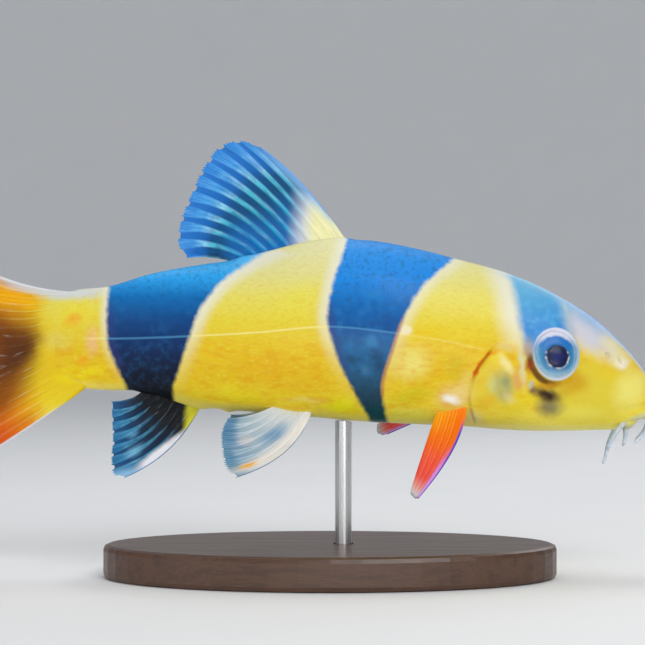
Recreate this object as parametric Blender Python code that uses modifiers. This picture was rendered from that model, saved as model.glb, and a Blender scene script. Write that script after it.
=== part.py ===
# A clown loach, life size, held above a flat base by one rod.
# +X points to the snout, +Y to the fish's left, +Z up. The origin is the middle of the base's underside.
# Every size below is in millimetres; MM turns it into metres when a mesh is made.

import math

import bmesh
import bpy
import numpy as np
from mathutils import Matrix, Vector

MM = 0.001
GAP = 0.3  # left open between two nodes that touch

# The body's outline from the end of the tail stalk to the tip of the snout:
# distance forward, height of the back, height of the belly, half the width.
BODY_STATIONS = [
    (-41.6, 35.8, 35.8, 0.0),
    (-41.2, 39.6, 32.0, 0.50),
    (-40.2, 41.6, 30.0, 0.80),
    (-38.0, 43.0, 28.4, 1.25),
    (-33.5, 43.5, 28.0, 2.2),
    (-27.0, 45.4, 27.8, 3.4),
    (-19.5, 46.8, 25.6, 4.7),
    (-11.0, 48.0, 24.7, 5.8),
    (-3.0, 49.9, 24.0, 6.5),
    (5.0, 50.5, 23.3, 6.9),
    (13.0, 49.2, 22.9, 7.1),
    (20.0, 47.4, 22.6, 7.0),
    (26.0, 45.75, 22.1, 6.7),
    (30.5, 44.0, 21.9, 6.2),
    (34.5, 41.95, 21.9, 5.7),
    (39.0, 39.15, 22.0, 5.0),
    (43.0, 35.75, 22.2, 4.2),
    (45.0, 33.7, 22.6, 3.7),
    (46.6, 31.75, 23.75, 3.2),
    (48.4, 29.0, 24.45, 2.45),
    (49.6, 27.2, 25.0, 1.55),
    (50.1, 26.0, 26.0, 0.0),
]
TAIL_END_X = BODY_STATIONS[0][0]
SNOUT_TIP_X = BODY_STATIONS[-1][0]
BACK_ROUNDNESS = 1.85  # 2 is an ellipse, less is a sharper ridge
BELLY_ROUNDNESS = 2.35
# The body is widest half way up at the tail, and at other shares of its depth ahead of it:
# over which stretch of the body the share changes, and by how much.
WAIST_SHARE = 0.5
WAIST_CHANGES = [((-35.0, -10.0), -0.05), ((15.0, 32.0), -0.05), ((38.0, 48.0), 0.06)]
BODY_RINGS = 55
RING_POINTS = 36
# Rings are closer together on the head, at the snout and at the end of the tail stalk:
# over which stretch their density grows, and by how much.
RING_WEIGHTS = [((15.0, 21.0), 0.75), ((46.0, 50.1), 2.2), ((-38.1, -41.6), 1.6)]

# Lines in side view, as (forward, height), along which one node ends and the next begins.
# The gill opening runs from the nape to the throat.
GILL_OPENING = [
    (27.6, 50.0), (26.0, 42.0), (24.2, 35.0), (21.3, 30.6), (20.3, 27.4), (21.0, 24.4), (23.4, 19.0),
]
# The torso ends and the tail stalk begins at the vent.
VENT = [(-16.4, 0.0), (-16.4, 80.0)]
# The tail fin is parted into its two lobes.
FORK = [(-30.0, 36.6), (-40.9, 35.7), (-47.0, 34.4), (-53.6, 32.4), (-60.0, 30.2)]
LINE_POINTS = 18
BACKWARD, FORWARD, UPWARD, DOWNWARD = (-1, 0), (1, 0), (0, 1), (0, -1)
SLAB_REACH = 60.0

# The gill cover rises above the cheek towards its rear edge, between two heights.
GILL_COVER_LIFT = 0.38
GILL_COVER_RISE_X = (31.0, 26.5)
GILL_COVER_TOP_Z = (37.5, 34.0)
GILL_COVER_FOOT_Z = (22.4, 24.6)

EYE_CENTRE = (33.5, 33.4)
EYE_RADII = (3.35, 3.5, 2.45)  # along the head, up, and out from the skin
EYE_SUNK = 1.4  # centre of the eyeball below the skin
EYE_RIM_RADII = (3.25, 3.5)
EYE_RIM_THICKNESS = 0.42
EYE_RIM_POINTS = 22

NOSTRIL = (43.0, 32.4)
NOSTRIL_RIM_RADIUS = 0.6
NOSTRIL_RIM_THICKNESS = 0.25
NOSTRIL_RIM_RAISED = 0.05
NOSTRIL_PIT_RADIUS = 0.27
NOSTRIL_PIT_DEPTH = 1.2
REAR_NOSTRIL = (41.2, 33.4)
REAR_NOSTRIL_RADII = (0.55, 0.36, 0.5)

# Right half of each lip from the corner of the mouth to its front.
UPPER_LIP = [(43.2, -2.45, 23.75), (45.0, -2.5, 24.1), (46.9, -1.85, 24.4), (48.2, 0.0, 24.7)]
LOWER_LIP = [(43.3, -2.2, 23.3), (44.4, -1.7, 22.95), (44.85, 0.0, 22.95)]
UPPER_LIP_RADIUS = 0.72
LOWER_LIP_RADIUS = 0.68
LIP_CORNER_SHARE = 0.45  # how thick a lip is at the corners of the mouth, next to its middle
LIP_POINTS = 15
MOUTH_CENTRE = (46.3, 0.0, 23.85)
MOUTH_RADII = (1.9, 2.3, 0.4)
MOUTH_PITCH = math.radians(-16)

# Each fin is three lines across its rays, from the leading ray to the last one: where the rays
# root inside the body, where they are half way, and where they end.
FIN_THICKNESS = 0.5
FIN_EDGE_THINNING = 0.45  # share of the thickness lost over the last quarter of the rays
FIN_EDGE_START = 0.75
RAY_HEIGHT = 0.16
RAY_TAPER = 0.6  # share of its height that a ray's ridge loses on its way to the tip
RAY_FOOT = 0.27  # half the width of a ridge, next to the distance between rays
FIN_ROWS = 7
TIP_NOTCH = 0.03  # share of its length by which the membrane is shorter than its rays
FINS = {
    "dorsal_fin": {
        "rays": 11,
        "root": [(3.0, 0, 49.6), (-2.6, 0, 48.6), (-8.0, 0, 47.4), (-13.0, 0, 46.6)],
        "middle": [(-3.9, 0.1, 58.7), (-8.2, 0.25, 58.1), (-12.2, 0.3, 55.3), (-15.2, 0.3, 51.9),
                   (-16.8, 0.2, 49.5), (-17.2, 0.1, 47.8)],
        "tip": [(-10.6, 0.4, 64.6), (-13.8, 0.6, 65.5), (-16.6, 0.8, 64.6), (-18.8, 0.9, 61.9),
                (-21.0, 0.9, 57.2), (-22.6, 0.8, 52.8), (-22.7, 0.5, 49.6), (-21.5, 0.3, 47.8)],
    },
    "anal_fin": {
        "rays": 8,
        "root": [(-18.9, 0, 26.7), (-21.6, 0, 27.3), (-24.4, 0, 27.8), (-27.6, 0, 28.5)],
        "middle": [(-23.7, 0, 19.5), (-26.1, 0, 20.9), (-27.6, 0, 23.2), (-29.6, 0, 26.9)],
        "tip": [(-30.9, -0.3, 14.8), (-32.3, -0.3, 15.2), (-32.8, -0.4, 17.6), (-32.6, -0.4, 20.5),
                (-32.7, -0.3, 23.5), (-32.8, -0.2, 26.3)],
    },
    "caudal_fin": {
        "rays": 20,
        "root": [(-34.2, 0, 43.8), (-38.9, 0, 41.2), (-40.4, 0, 38.4), (-40.9, 0, 35.7), (-40.4, 0, 33.0),
                 (-38.9, 0, 30.2), (-35.3, 0, 28.3)],
        "middle": [(-49.5, 0.2, 45.1), (-51.2, 0.4, 42.9), (-49.3, 0.3, 39.2), (-47.0, 0.1, 34.4),
                   (-49.3, 0.3, 28.9), (-51.2, 0.4, 22.6), (-49.5, 0.2, 19.4)],
        "tip": [(-65.1, 1.6, 54.6), (-66.0, 1.7, 52.9), (-64.0, 1.5, 47.9), (-59.7, 1.1, 41.8),
                (-55.7, 0.8, 36.6), (-53.6, 0.5, 32.4), (-56.0, 0.7, 27.6), (-60.1, 1.0, 21.8),
                (-64.3, 1.3, 15.6), (-66.3, 1.4, 11.3), (-65.1, 1.3, 9.9)],
    },
    "pelvic_fin": {
        "rays": 8,
        "root": [(-2.4, -2.7, 25.9), (-4.2, -2.7, 26.0), (-5.9, -2.7, 26.1), (-7.5, -2.7, 26.2)],
        "middle": [(-6.3, -4.3, 19.3), (-9.1, -4.5, 20.4), (-11.3, -4.5, 22.6), (-11.6, -4.3, 24.5)],
        "tip": [(-14.0, -5.9, 15.3), (-15.2, -5.8, 16.5), (-16.0, -5.5, 19.6), (-16.0, -5.2, 22.2),
                (-15.2, -5.0, 24.1)],
    },
    "pectoral_fin_right": {
        "rays": 10,
        "root": [(20.2, -4.4, 26.7), (18.2, -4.4, 26.5), (16.2, -4.4, 26.3)],
        "middle": [(18.2, -8.7, 20.3), (16.2, -7.4, 20.1), (14.1, -5.8, 20.6)],
        "tip": [(12.7, -10.6, 12.8), (12.1, -10.1, 12.8), (11.5, -9.5, 13.5)],
    },
    "pectoral_fin_left": {
        "rays": 10,
        "root": [(20.2, 4.4, 26.4), (18.6, 4.4, 26.2), (17.0, 4.4, 26.1)],
        "middle": [(14.6, 10.6, 23.2), (12.9, 9.2, 23.8), (12.3, 7.4, 24.5)],
        "tip": [(8.9, 14.0, 20.4), (7.6, 13.1, 20.7), (7.4, 11.4, 22.4)],
    },
}

# Each barbel from its root inside the snout or a lip to its tip. The inner and outer pairs grow from the
# snout, and left ones hang a little ahead of right ones.
BARBEL_ROOT_RADIUS = 0.4
BARBEL_TIP_RADIUS = 0.25
BARBEL_POINTS = 9
BARBELS = {
    "barbel_corner_right": [(43.9, -2.3, 23.5), (42.6, -3.2, 22.1), (41.2, -3.6, 19.8), (40.4, -3.6, 17.2)],
    "barbel_corner_left": [(43.9, 2.3, 23.5), (43.3, 3.2, 22.1), (42.3, 3.6, 19.8), (41.8, 3.6, 17.4)],
    "barbel_chin_right": [(44.4, -1.2, 23.0), (44.1, -1.4, 21.2), (43.7, -1.5, 19.7)],
    "barbel_chin_left": [(44.4, 1.2, 23.0), (44.5, 1.4, 21.2), (44.3, 1.5, 19.9)],
    "barbel_outer_right": [(47.4, -1.3, 25.2), (48.0, -2.3, 24.0), (47.0, -2.9, 22.2), (45.2, -3.1, 20.3)],
    "barbel_outer_left": [(47.4, 1.3, 25.2), (48.2, 2.3, 24.0), (47.7, 2.9, 22.0), (46.3, 3.1, 20.2)],
    "barbel_inner_right": [(48.5, -0.5, 25.4), (50.1, -0.9, 24.3), (50.5, -1.2, 22.4), (49.7, -1.4, 20.3)],
    "barbel_inner_left": [(48.5, 0.5, 25.4), (50.2, 0.9, 24.3), (50.9, 1.2, 22.4), (50.4, 1.4, 20.5)],
}

BASE_LENGTH = 68.0
BASE_WIDTH = 34.0
BASE_HEIGHT = 5.0
BASE_EDGE = 0.8
ROD_X = 2.0
ROD_RADIUS = 1.25
ROD_SOCKET_DEPTH = 3.0
ROD_END_Z = 30.0  # inside the belly, before the rod is cut off under it
BASE_SIDES = 48
ROD_SIDES = 24

# Colour, roughness and metallic value of each finish.
FINISHES = {
    "yellow_flank": ((0.80, 0.62, 0.05), 0.35, 0.0),
    "yellow_head": ((0.78, 0.68, 0.20), 0.35, 0.0),
    "yellow_tail": ((0.78, 0.55, 0.02), 0.35, 0.0),
    "eye_blue": ((0.02, 0.10, 0.30), 0.10, 0.0),
    "fin_blue": ((0.03, 0.25, 0.50), 0.40, 0.0),
    "fin_dark": ((0.01, 0.07, 0.16), 0.40, 0.0),
    "fin_amber": ((0.60, 0.22, 0.01), 0.40, 0.0),
    "fin_pale": ((0.50, 0.60, 0.66), 0.40, 0.0),
    "fin_orange": ((0.90, 0.20, 0.02), 0.40, 0.0),
    "barbel_pale": ((0.55, 0.55, 0.50), 0.45, 0.0),
    "stand_wood": ((0.07, 0.04, 0.025), 0.45, 0.0),
    "stand_steel": ((0.55, 0.55, 0.56), 0.30, 1.0),
}


def clear_scene():
    for obj in list(bpy.data.objects):
        bpy.data.objects.remove(obj, do_unlink=True)


def new_collection(name, hidden=False):
    collection = bpy.data.collections.new(name)
    bpy.context.scene.collection.children.link(collection)
    collection.hide_render = hidden
    return collection


def finish_material(name):
    found = bpy.data.materials.get(name)
    if found:
        return found
    colour, roughness, metallic = FINISHES[name]
    material = bpy.data.materials.new(name)
    material.use_nodes = True
    shader = material.node_tree.nodes["Principled BSDF"]
    shader.inputs["Base Color"].default_value = (*colour, 1.0)
    shader.inputs["Roughness"].default_value = roughness
    shader.inputs["Metallic"].default_value = metallic
    return material


def as_node(obj, name, finish, collection):
    """Names an object, gives it its own finish and moves it to the fish's collection."""
    obj.name = name
    obj.data.name = name
    obj.data.materials.clear()
    obj.data.materials.append(finish_material(finish))
    obj.data.shade_smooth()
    obj.data.set_sharp_from_angle(angle=math.radians(35))
    for old in list(obj.users_collection):
        old.objects.unlink(obj)
    collection.objects.link(obj)
    return obj


def mesh_object(name, points, faces):
    """A mesh object in the scene's own collection, from points in millimetres."""
    mesh = bpy.data.meshes.new(name)
    mesh.from_pydata((np.asarray(points, float) * MM).tolist(), [], faces)
    mesh.update()
    obj = bpy.data.objects.new(name, mesh)
    bpy.context.scene.collection.objects.link(obj)
    return obj


def remove(objects):
    for obj in objects:
        bpy.data.objects.remove(obj, do_unlink=True)


def settle(obj):
    """Applies an object's modifiers."""
    graph = bpy.context.evaluated_depsgraph_get()
    mesh = bpy.data.meshes.new_from_object(obj.evaluated_get(graph))
    obj.modifiers.clear()
    obj.data = mesh
    return obj


def boolean(obj, operation, pieces):
    """One applied Boolean of obj with all the pieces, which are then removed."""
    others = new_collection("pieces of " + obj.name)
    for piece in pieces:
        for old in list(piece.users_collection):
            old.objects.unlink(piece)
        others.objects.link(piece)
    modifier = obj.modifiers.new(operation.lower(), "BOOLEAN")
    modifier.operation = operation
    modifier.operand_type = "COLLECTION"
    modifier.collection = others
    modifier.solver = "EXACT"
    settle(obj)
    remove(list(others.objects))
    bpy.data.collections.remove(others)
    return obj


def keep_largest(obj):
    """Leaves only the closed surface that has the largest box."""
    shape = bmesh.new()
    shape.from_mesh(obj.data)
    bmesh.ops.remove_doubles(shape, verts=shape.verts, dist=1e-7)
    left = set(shape.verts)
    bodies = []
    while left:
        body, edge = set(), [left.pop()]
        while edge:
            vert = edge.pop()
            body.add(vert)
            for link in vert.link_edges:
                other = link.other_vert(vert)
                if other in left:
                    left.remove(other)
                    edge.append(other)
        bodies.append(body)

    def box_size(body):
        corners = np.array([vert.co for vert in body])
        return float(np.prod(corners.max(axis=0) - corners.min(axis=0) + MM * GAP))

    largest = max(bodies, key=box_size)
    loose = [vert for vert in shape.verts if vert not in largest]
    bmesh.ops.delete(shape, geom=loose, context="VERTS")
    shape.to_mesh(obj.data)
    shape.free()
    return obj


def smooth_line(points, count):
    """count points on one smooth curve through the given ones, spaced by their distances."""
    rows = np.asarray(points, float)
    ghost_start = 2 * rows[0] - rows[1]
    ghost_end = 2 * rows[-1] - rows[-2]
    rows = np.vstack([ghost_start, rows, ghost_end])
    knots = np.concatenate([[0], np.cumsum(np.linalg.norm(np.diff(rows, axis=0), axis=1))])
    return hermite(knots, rows, np.linspace(knots[1], knots[-2], count))


def hermite(knots, rows, at):
    """Values at the places `at` on a smooth curve through rows, whose ends are guides only."""
    steps = np.diff(knots)
    slopes = np.diff(rows, axis=0) / steps[:, None]
    before, after = steps[:-1, None], steps[1:, None]
    tangents = (slopes[:-1] * after + slopes[1:] * before) / (before + after)
    low = np.clip(np.searchsorted(knots, at, side="right") - 1, 1, len(knots) - 3)
    width = steps[low][:, None]
    share = ((at - knots[low]) / steps[low])[:, None]
    start, end = rows[low], rows[low + 1]
    leave, arrive = tangents[low - 1] * width, tangents[low] * width
    return (
        (2 * share**3 - 3 * share**2 + 1) * start
        + (share**3 - 2 * share**2 + share) * leave
        + (3 * share**2 - 2 * share**3) * end
        + (share**3 - share**2) * arrive
    )


def ramp(value, start, end):
    """0 at start and 1 at end, smooth between them."""
    share = np.clip((value - start) / (end - start), 0, 1)
    return share * share * (3 - 2 * share)


def body_spline():
    """Knots and rows (x, middle height, half height, half width) with a mirrored guide past each end."""
    x, back, belly, half = np.array(BODY_STATIONS).T
    rows = np.stack([x, (back + belly) / 2, (back - belly) / 2, half], axis=1)
    mirror = np.array([1, 1, -1, -1])
    rows = np.vstack([rows[1] * mirror, rows, rows[-2] * mirror])
    knots = np.concatenate([[0], np.cumsum(np.linalg.norm(np.diff(rows, axis=0), axis=1))])
    return knots, rows


def body_rows(at):
    knots, rows = body_spline()
    return hermite(knots, rows, at)


def half_section(row, count):
    """Points (side, height) evenly spaced down one side of a body section, from back to belly."""
    _, middle, rise, half = row
    widest = middle + rise * (2 * waist_share(row[0]) - 1)
    angle = np.linspace(0, math.pi, 400)
    side = np.abs(np.sin(angle))
    up = np.cos(angle)
    power = np.where(up > 0, 2 / BACK_ROUNDNESS, 2 / BELLY_ROUNDNESS)
    reach = np.where(up > 0, middle + rise - widest, widest - middle + rise)
    points = np.stack([half * side**power, widest + reach * np.sign(up) * np.abs(up) ** power], axis=1)
    points[0, 0] = points[-1, 0] = 0.0
    travel = np.concatenate([[0], np.cumsum(np.linalg.norm(np.diff(points, axis=0), axis=1))])
    even = np.linspace(0, travel[-1], count)
    return np.stack([np.interp(even, travel, points[:, 0]), np.interp(even, travel, points[:, 1])], axis=1)


def waist_share(x):
    """How far up the depth the body is widest: lower on the head than on the flank."""
    return WAIST_SHARE + sum(change * ramp(x, *reach) for reach, change in WAIST_CHANGES)


def ring_places():
    """Places of the rings along the spline: close together at both ends and on the head."""
    knots, rows = body_spline()
    dense = np.linspace(knots[1], knots[-2], 4000)
    x = hermite(knots, rows, dense)[:, 0]
    weight = 1 + sum(extra * ramp(x, *reach) for reach, extra in RING_WEIGHTS)
    travel = np.concatenate([[0], np.cumsum(weight[1:] * np.diff(dense))])
    even = np.linspace(0, travel[-1], BODY_RINGS + 2)[1:-1]
    return np.interp(even, travel, dense)


def gill_cover_lift(points):
    """Height of the gill cover above the cheek, which grows towards its rear edge."""
    x, z = points[..., 0], points[..., 2]
    in_height = ramp(z, *GILL_COVER_TOP_Z) * ramp(z, *GILL_COVER_FOOT_Z)
    return GILL_COVER_LIFT * ramp(x, *GILL_COVER_RISE_X) * in_height


def body_mesh(name, grow=0.0, gill_covers=False):
    """The whole body from tail stalk to snout as one closed surface, grown outwards by `grow`."""
    count = RING_POINTS // 2 + 1
    rings = []
    for row in body_rows(ring_places()):
        half = half_section(row, count)
        right = np.stack([np.full(count, row[0]), -half[:, 0], half[:, 1]], axis=1)
        left = right[-2:0:-1] * (1, -1, 1)
        rings.append(np.vstack([right, left]))
    rings = np.array(rings)
    along = np.gradient(rings, axis=0)
    around = (np.roll(rings, -1, axis=1) - np.roll(rings, 1, axis=1)) / 2
    normal = np.cross(around, along)
    normal /= np.linalg.norm(normal, axis=2, keepdims=True)
    lift = grow + (gill_cover_lift(rings) if gill_covers else 0)
    rings = rings + normal * np.broadcast_to(lift, rings.shape[:2])[..., None]
    ring_count, ring_points = rings.shape[:2]
    tail_pole = (TAIL_END_X - grow, 0, BODY_STATIONS[0][1])
    snout_pole = (SNOUT_TIP_X + grow, 0, BODY_STATIONS[-1][1])
    points = np.vstack([rings.reshape(-1, 3), tail_pole, snout_pole])
    faces = []
    for i in range(ring_count - 1):
        for j in range(ring_points):
            a, b = i * ring_points + j, i * ring_points + (j + 1) % ring_points
            faces.append((a, b, b + ring_points, a + ring_points))
    last = (ring_count - 1) * ring_points
    for j in range(ring_points):
        k = (j + 1) % ring_points
        faces.append((ring_count * ring_points, k, j))
        faces.append((ring_count * ring_points + 1, last + j, last + k))
    return mesh_object(name, points, faces)


def skin_side(x, z):
    """Half width of the body at a place in side view."""
    knots, _ = body_spline()
    dense = body_rows(np.linspace(knots[1], knots[-2], 3000))
    row = [np.interp(x, dense[:, 0], dense[:, i]) for i in range(4)]
    middle, rise, half = row[1:]
    widest = middle + rise * (2 * waist_share(x) - 1)
    if z > widest:
        share, power = (z - widest) / (middle + rise - widest), BACK_ROUNDNESS
    else:
        share, power = (widest - z) / (widest - middle + rise), BELLY_ROUNDNESS
    return half * max(0.0, 1 - share**power) ** (1 / power)


def skin_frame(x, z, side, sunk=0.0):
    """A matrix whose +Z is the skin's outward normal at a place in side view; side is -1 right, +1 left."""
    step = 0.2
    slope_x = (skin_side(x + step, z) - skin_side(x - step, z)) / (2 * step)
    slope_z = (skin_side(x, z + step) - skin_side(x, z - step)) / (2 * step)
    outward = Vector((-slope_x, side, -slope_z)).normalized()
    forward = (Vector((1, 0, 0)) - outward * outward.x).normalized()
    centre = Vector((x, side * skin_side(x, z), z)) - outward * sunk
    turn = Matrix((forward, outward.cross(forward), outward)).transposed().to_4x4()
    return Matrix.Translation(centre * MM) @ turn


def ball(name, radii, frame, segments=20, rings=12):
    """An ellipsoid placed by a frame."""
    shape = bmesh.new()
    bmesh.ops.create_uvsphere(shape, u_segments=segments, v_segments=rings, radius=1.0)
    size = Matrix.Diagonal((*[radius * MM for radius in radii], 1.0))
    bmesh.ops.transform(shape, matrix=frame @ size, verts=shape.verts)
    mesh = bpy.data.meshes.new(name)
    shape.to_mesh(mesh)
    shape.free()
    obj = bpy.data.objects.new(name, mesh)
    bpy.context.scene.collection.objects.link(obj)
    return obj


def ring_rim(name, radius, thickness, frame):
    """A torus placed by a frame, lying round its Z."""
    bpy.ops.mesh.primitive_torus_add(
        major_segments=12, minor_segments=6, major_radius=radius * MM, minor_radius=thickness * MM
    )
    obj = bpy.context.object
    obj.name = name
    obj.data.transform(frame)
    return obj


def cylinder(name, radius, depth, frame, segments=16):
    bpy.ops.mesh.primitive_cylinder_add(vertices=segments, radius=radius * MM, depth=depth * MM)
    obj = bpy.context.object
    obj.name = name
    obj.data.transform(frame)
    return obj


def tube(name, points, radii, ring=False, round_tip=False):
    """A round tube along the points, either with filled ends or closed into a ring, as one welded mesh."""
    places = [Vector(point) for point in points]
    radii = list(radii)
    if round_tip:
        ahead = (places[-1] - places[-2]).normalized()
        places += [places[-1] + ahead * radii[-1] * 0.75, places[-1] + ahead * radii[-1]]
        radii += [radii[-1] * 0.66, radii[-1] * 0.2]
    curve = bpy.data.curves.new(name, "CURVE")
    curve.dimensions = "3D"
    curve.bevel_depth = MM
    curve.bevel_resolution = 2
    curve.use_fill_caps = not ring
    line = curve.splines.new("POLY")
    line.points.add(len(places) - 1)
    line.use_cyclic_u = ring
    for point, place, radius in zip(line.points, places, radii):
        point.co = (*(place * MM), 1.0)
        point.radius = radius
    guide = bpy.data.objects.new(name, curve)
    bpy.context.scene.collection.objects.link(guide)
    return welded_mesh(guide, name)


def welded_mesh(guide, name):
    """A curve object turned into a mesh object with its caps welded on."""
    graph = bpy.context.evaluated_depsgraph_get()
    mesh = bpy.data.meshes.new_from_object(guide.evaluated_get(graph))
    shape = bmesh.new()
    shape.from_mesh(mesh)
    bmesh.ops.remove_doubles(shape, verts=shape.verts, dist=1e-7)
    bmesh.ops.recalc_face_normals(shape, faces=shape.faces)
    shape.to_mesh(mesh)
    shape.free()
    mesh.transform(guide.matrix_world)
    bpy.data.objects.remove(guide, do_unlink=True)
    obj = bpy.data.objects.new(name, mesh)
    bpy.context.scene.collection.objects.link(obj)
    return obj


def side_view_slab(name, outline, half_width):
    """A closed outline in side view, as (forward, height), made as thick as the fish is wide."""
    curve = bpy.data.curves.new(name, "CURVE")
    curve.dimensions = "2D"
    curve.fill_mode = "BOTH"
    curve.extrude = half_width * MM
    line = curve.splines.new("POLY")
    line.points.add(len(outline) - 1)
    for i, (x, z) in enumerate(outline):
        line.points[i].co = (x * MM, z * MM, 0.0, 1.0)
    line.use_cyclic_u = True
    guide = bpy.data.objects.new(name, curve)
    bpy.context.scene.collection.objects.link(guide)
    guide.rotation_euler = (math.pi / 2, 0, 0)
    bpy.context.view_layer.update()
    return welded_mesh(guide, name)


def slab_beyond(name, line, beyond):
    """All that lies beyond a line in side view, in one direction, with half the gap on its near side."""
    line, beyond = np.asarray(line, float), np.array(beyond, float)
    across = np.gradient(line, axis=0)[:, ::-1] * (1, -1)
    across /= np.linalg.norm(across, axis=1, keepdims=True)
    across *= np.sign(across @ beyond)[:, None]
    edge = line - across * GAP / 2
    outline = [*edge, edge[-1] + beyond * SLAB_REACH, edge[0] + beyond * SLAB_REACH]
    return side_view_slab(name, outline, SLAB_REACH)


def eye_rim(side):
    """The raised rim round an eye, lying on the skin."""
    points = []
    for turn in np.linspace(0, 2 * math.pi, EYE_RIM_POINTS, endpoint=False):
        x = EYE_CENTRE[0] + EYE_RIM_RADII[0] * math.cos(turn)
        z = EYE_CENTRE[1] + EYE_RIM_RADII[1] * math.sin(turn)
        points.append((x, side * skin_side(x, z), z))
    return tube("eye_rim", points, [EYE_RIM_THICKNESS] * len(points), ring=True)


def lip(name, half, radius, grow):
    """A lip from the right corner of the mouth round to the left one, thickest in the middle."""
    points = smooth_line(half + [(x, -y, z) for x, y, z in half[-2::-1]], LIP_POINTS)
    swell = np.sin(np.linspace(0, math.pi, len(points)))
    return tube(name, points, radius * (LIP_CORNER_SHARE + (1 - LIP_CORNER_SHARE) * swell) + grow)


def lips(grow=0.0):
    upper = lip("upper_lip", UPPER_LIP, UPPER_LIP_RADIUS, grow)
    lower = lip("lower_lip", LOWER_LIP, LOWER_LIP_RADIUS, grow)
    return [upper, lower]


def make_head(fish):
    head = body_mesh("head", gill_covers=True)
    added = lips()
    taken = [slab_beyond("behind_gills", smooth_line(GILL_OPENING, LINE_POINTS), BACKWARD)]
    mouth = Matrix.Translation(Vector(MOUTH_CENTRE) * MM) @ Matrix.Rotation(MOUTH_PITCH, 4, "Y")
    taken.append(ball("mouth", MOUTH_RADII, mouth))
    for side in (-1, 1):
        socket = skin_frame(*EYE_CENTRE, side, EYE_SUNK)
        taken.append(ball("socket", [radius + GAP for radius in EYE_RADII], socket))
        added.append(eye_rim(side))
        front = skin_frame(*NOSTRIL, side, -NOSTRIL_RIM_RAISED)
        added.append(ring_rim("nostril_rim", NOSTRIL_RIM_RADIUS, NOSTRIL_RIM_THICKNESS, front))
        taken.append(cylinder("nostril_pit", NOSTRIL_PIT_RADIUS, NOSTRIL_PIT_DEPTH, front, segments=10))
        rear = skin_frame(*REAR_NOSTRIL, side)
        taken.append(ball("rear_nostril", REAR_NOSTRIL_RADII, rear, segments=10, rings=6))
    boolean(head, "UNION", added)
    boolean(head, "DIFFERENCE", taken)
    as_node(keep_largest(head), "head", "yellow_head", fish)


def make_torso_and_tail(fish):
    torso = body_mesh("torso")
    ahead = slab_beyond("ahead_of_gills", smooth_line(GILL_OPENING, LINE_POINTS), FORWARD)
    boolean(torso, "DIFFERENCE", [ahead, slab_beyond("behind_vent", VENT, BACKWARD)])
    as_node(keep_largest(torso), "torso", "yellow_flank", fish)
    tail = body_mesh("tail_stalk")
    boolean(tail, "DIFFERENCE", [slab_beyond("ahead_of_vent", VENT, FORWARD)])
    as_node(keep_largest(tail), "tail_stalk", "yellow_tail", fish)


def make_eyes(fish):
    for name, side in (("eye_right", -1), ("eye_left", 1)):
        eye = ball(name, EYE_RADII, skin_frame(*EYE_CENTRE, side, EYE_SUNK))
        as_node(eye, name, "eye_blue", fish)


def fin_columns(rays):
    """Places across a fin, from 0 to 1, each with whether a ray's crest runs there."""
    pitch = 1 / (rays - 1)
    columns = []
    for ray in range(rays):
        for offset, crest in ((-RAY_FOOT, False), (0.0, True), (RAY_FOOT, False)):
            place = (ray + offset) * pitch
            if -1e-9 <= place <= 1 + 1e-9:
                columns.append((place, crest))
    return columns


def make_fin(name, plan, finish, fish, mirrored=False, without=()):
    """A thin fin whose rays are ridges on both faces, cut off along the grown body."""
    columns = fin_columns(plan["rays"])
    dense = 400
    root, middle, tip = (smooth_line(plan[key], dense) for key in ("root", "middle", "tip"))
    place = np.array([share for share, _ in columns]) * (dense - 1)
    crest = np.array([is_crest for _, is_crest in columns])

    def pick(line):
        return np.stack([np.interp(place, np.arange(dense), line[:, i]) for i in range(3)], axis=1)

    start, half_way, end = pick(root), pick(middle), pick(tip)
    bend = 2 * half_way - (start + end) / 2
    along = np.linspace(0, 1, FIN_ROWS)[:, None] * np.where(crest, 1.0, 1.0 - TIP_NOTCH)[None, :]
    share = along[..., None]
    sheet = (1 - share) ** 2 * start + 2 * share * (1 - share) * bend + share**2 * end
    normal = np.cross(np.gradient(sheet, axis=0), np.gradient(sheet, axis=1))
    normal /= np.linalg.norm(normal, axis=2, keepdims=True)
    thin = 1 - FIN_EDGE_THINNING * ramp(along, FIN_EDGE_START, 1.0)
    ridge = np.where(crest[None, :], RAY_HEIGHT * (1 - RAY_TAPER * along), 0.0)
    half = FIN_THICKNESS / 2 * thin + ridge
    front, back = sheet + normal * half[..., None], sheet - normal * half[..., None]
    points = np.vstack([front.reshape(-1, 3), back.reshape(-1, 3)])
    if mirrored:
        points = points * (1, -1, 1)
    fin = mesh_object(name, points, sheet_faces(*sheet.shape[:2]))
    fix_normals(fin)
    boolean(fin, "DIFFERENCE", [body_mesh("grown_body", grow=GAP), *without])
    as_node(keep_largest(fin), name, finish, fish)


def sheet_faces(rows, columns):
    """Triangles of a closed sheet: a front and a back split alike, and the strip round their edge."""
    back = rows * columns
    faces = []
    for i in range(rows - 1):
        for j in range(columns - 1):
            a, b = i * columns + j, i * columns + j + 1
            c, d = b + columns, a + columns
            faces += [(a, b, c), (a, c, d), (back + a, back + c, back + b), (back + a, back + d, back + c)]
    edge = [(0, j) for j in range(columns - 1)] + [(i, columns - 1) for i in range(rows - 1)]
    edge += [(rows - 1, j) for j in range(columns - 1, 0, -1)] + [(i, 0) for i in range(rows - 1, 0, -1)]
    edge = [i * columns + j for i, j in edge]
    for a, b in zip(edge, edge[1:] + edge[:1]):
        faces += [(b, a, back + a), (b, back + a, back + b)]
    return faces


def fix_normals(obj):
    shape = bmesh.new()
    shape.from_mesh(obj.data)
    bmesh.ops.recalc_face_normals(shape, faces=shape.faces)
    shape.to_mesh(obj.data)
    shape.free()


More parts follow.
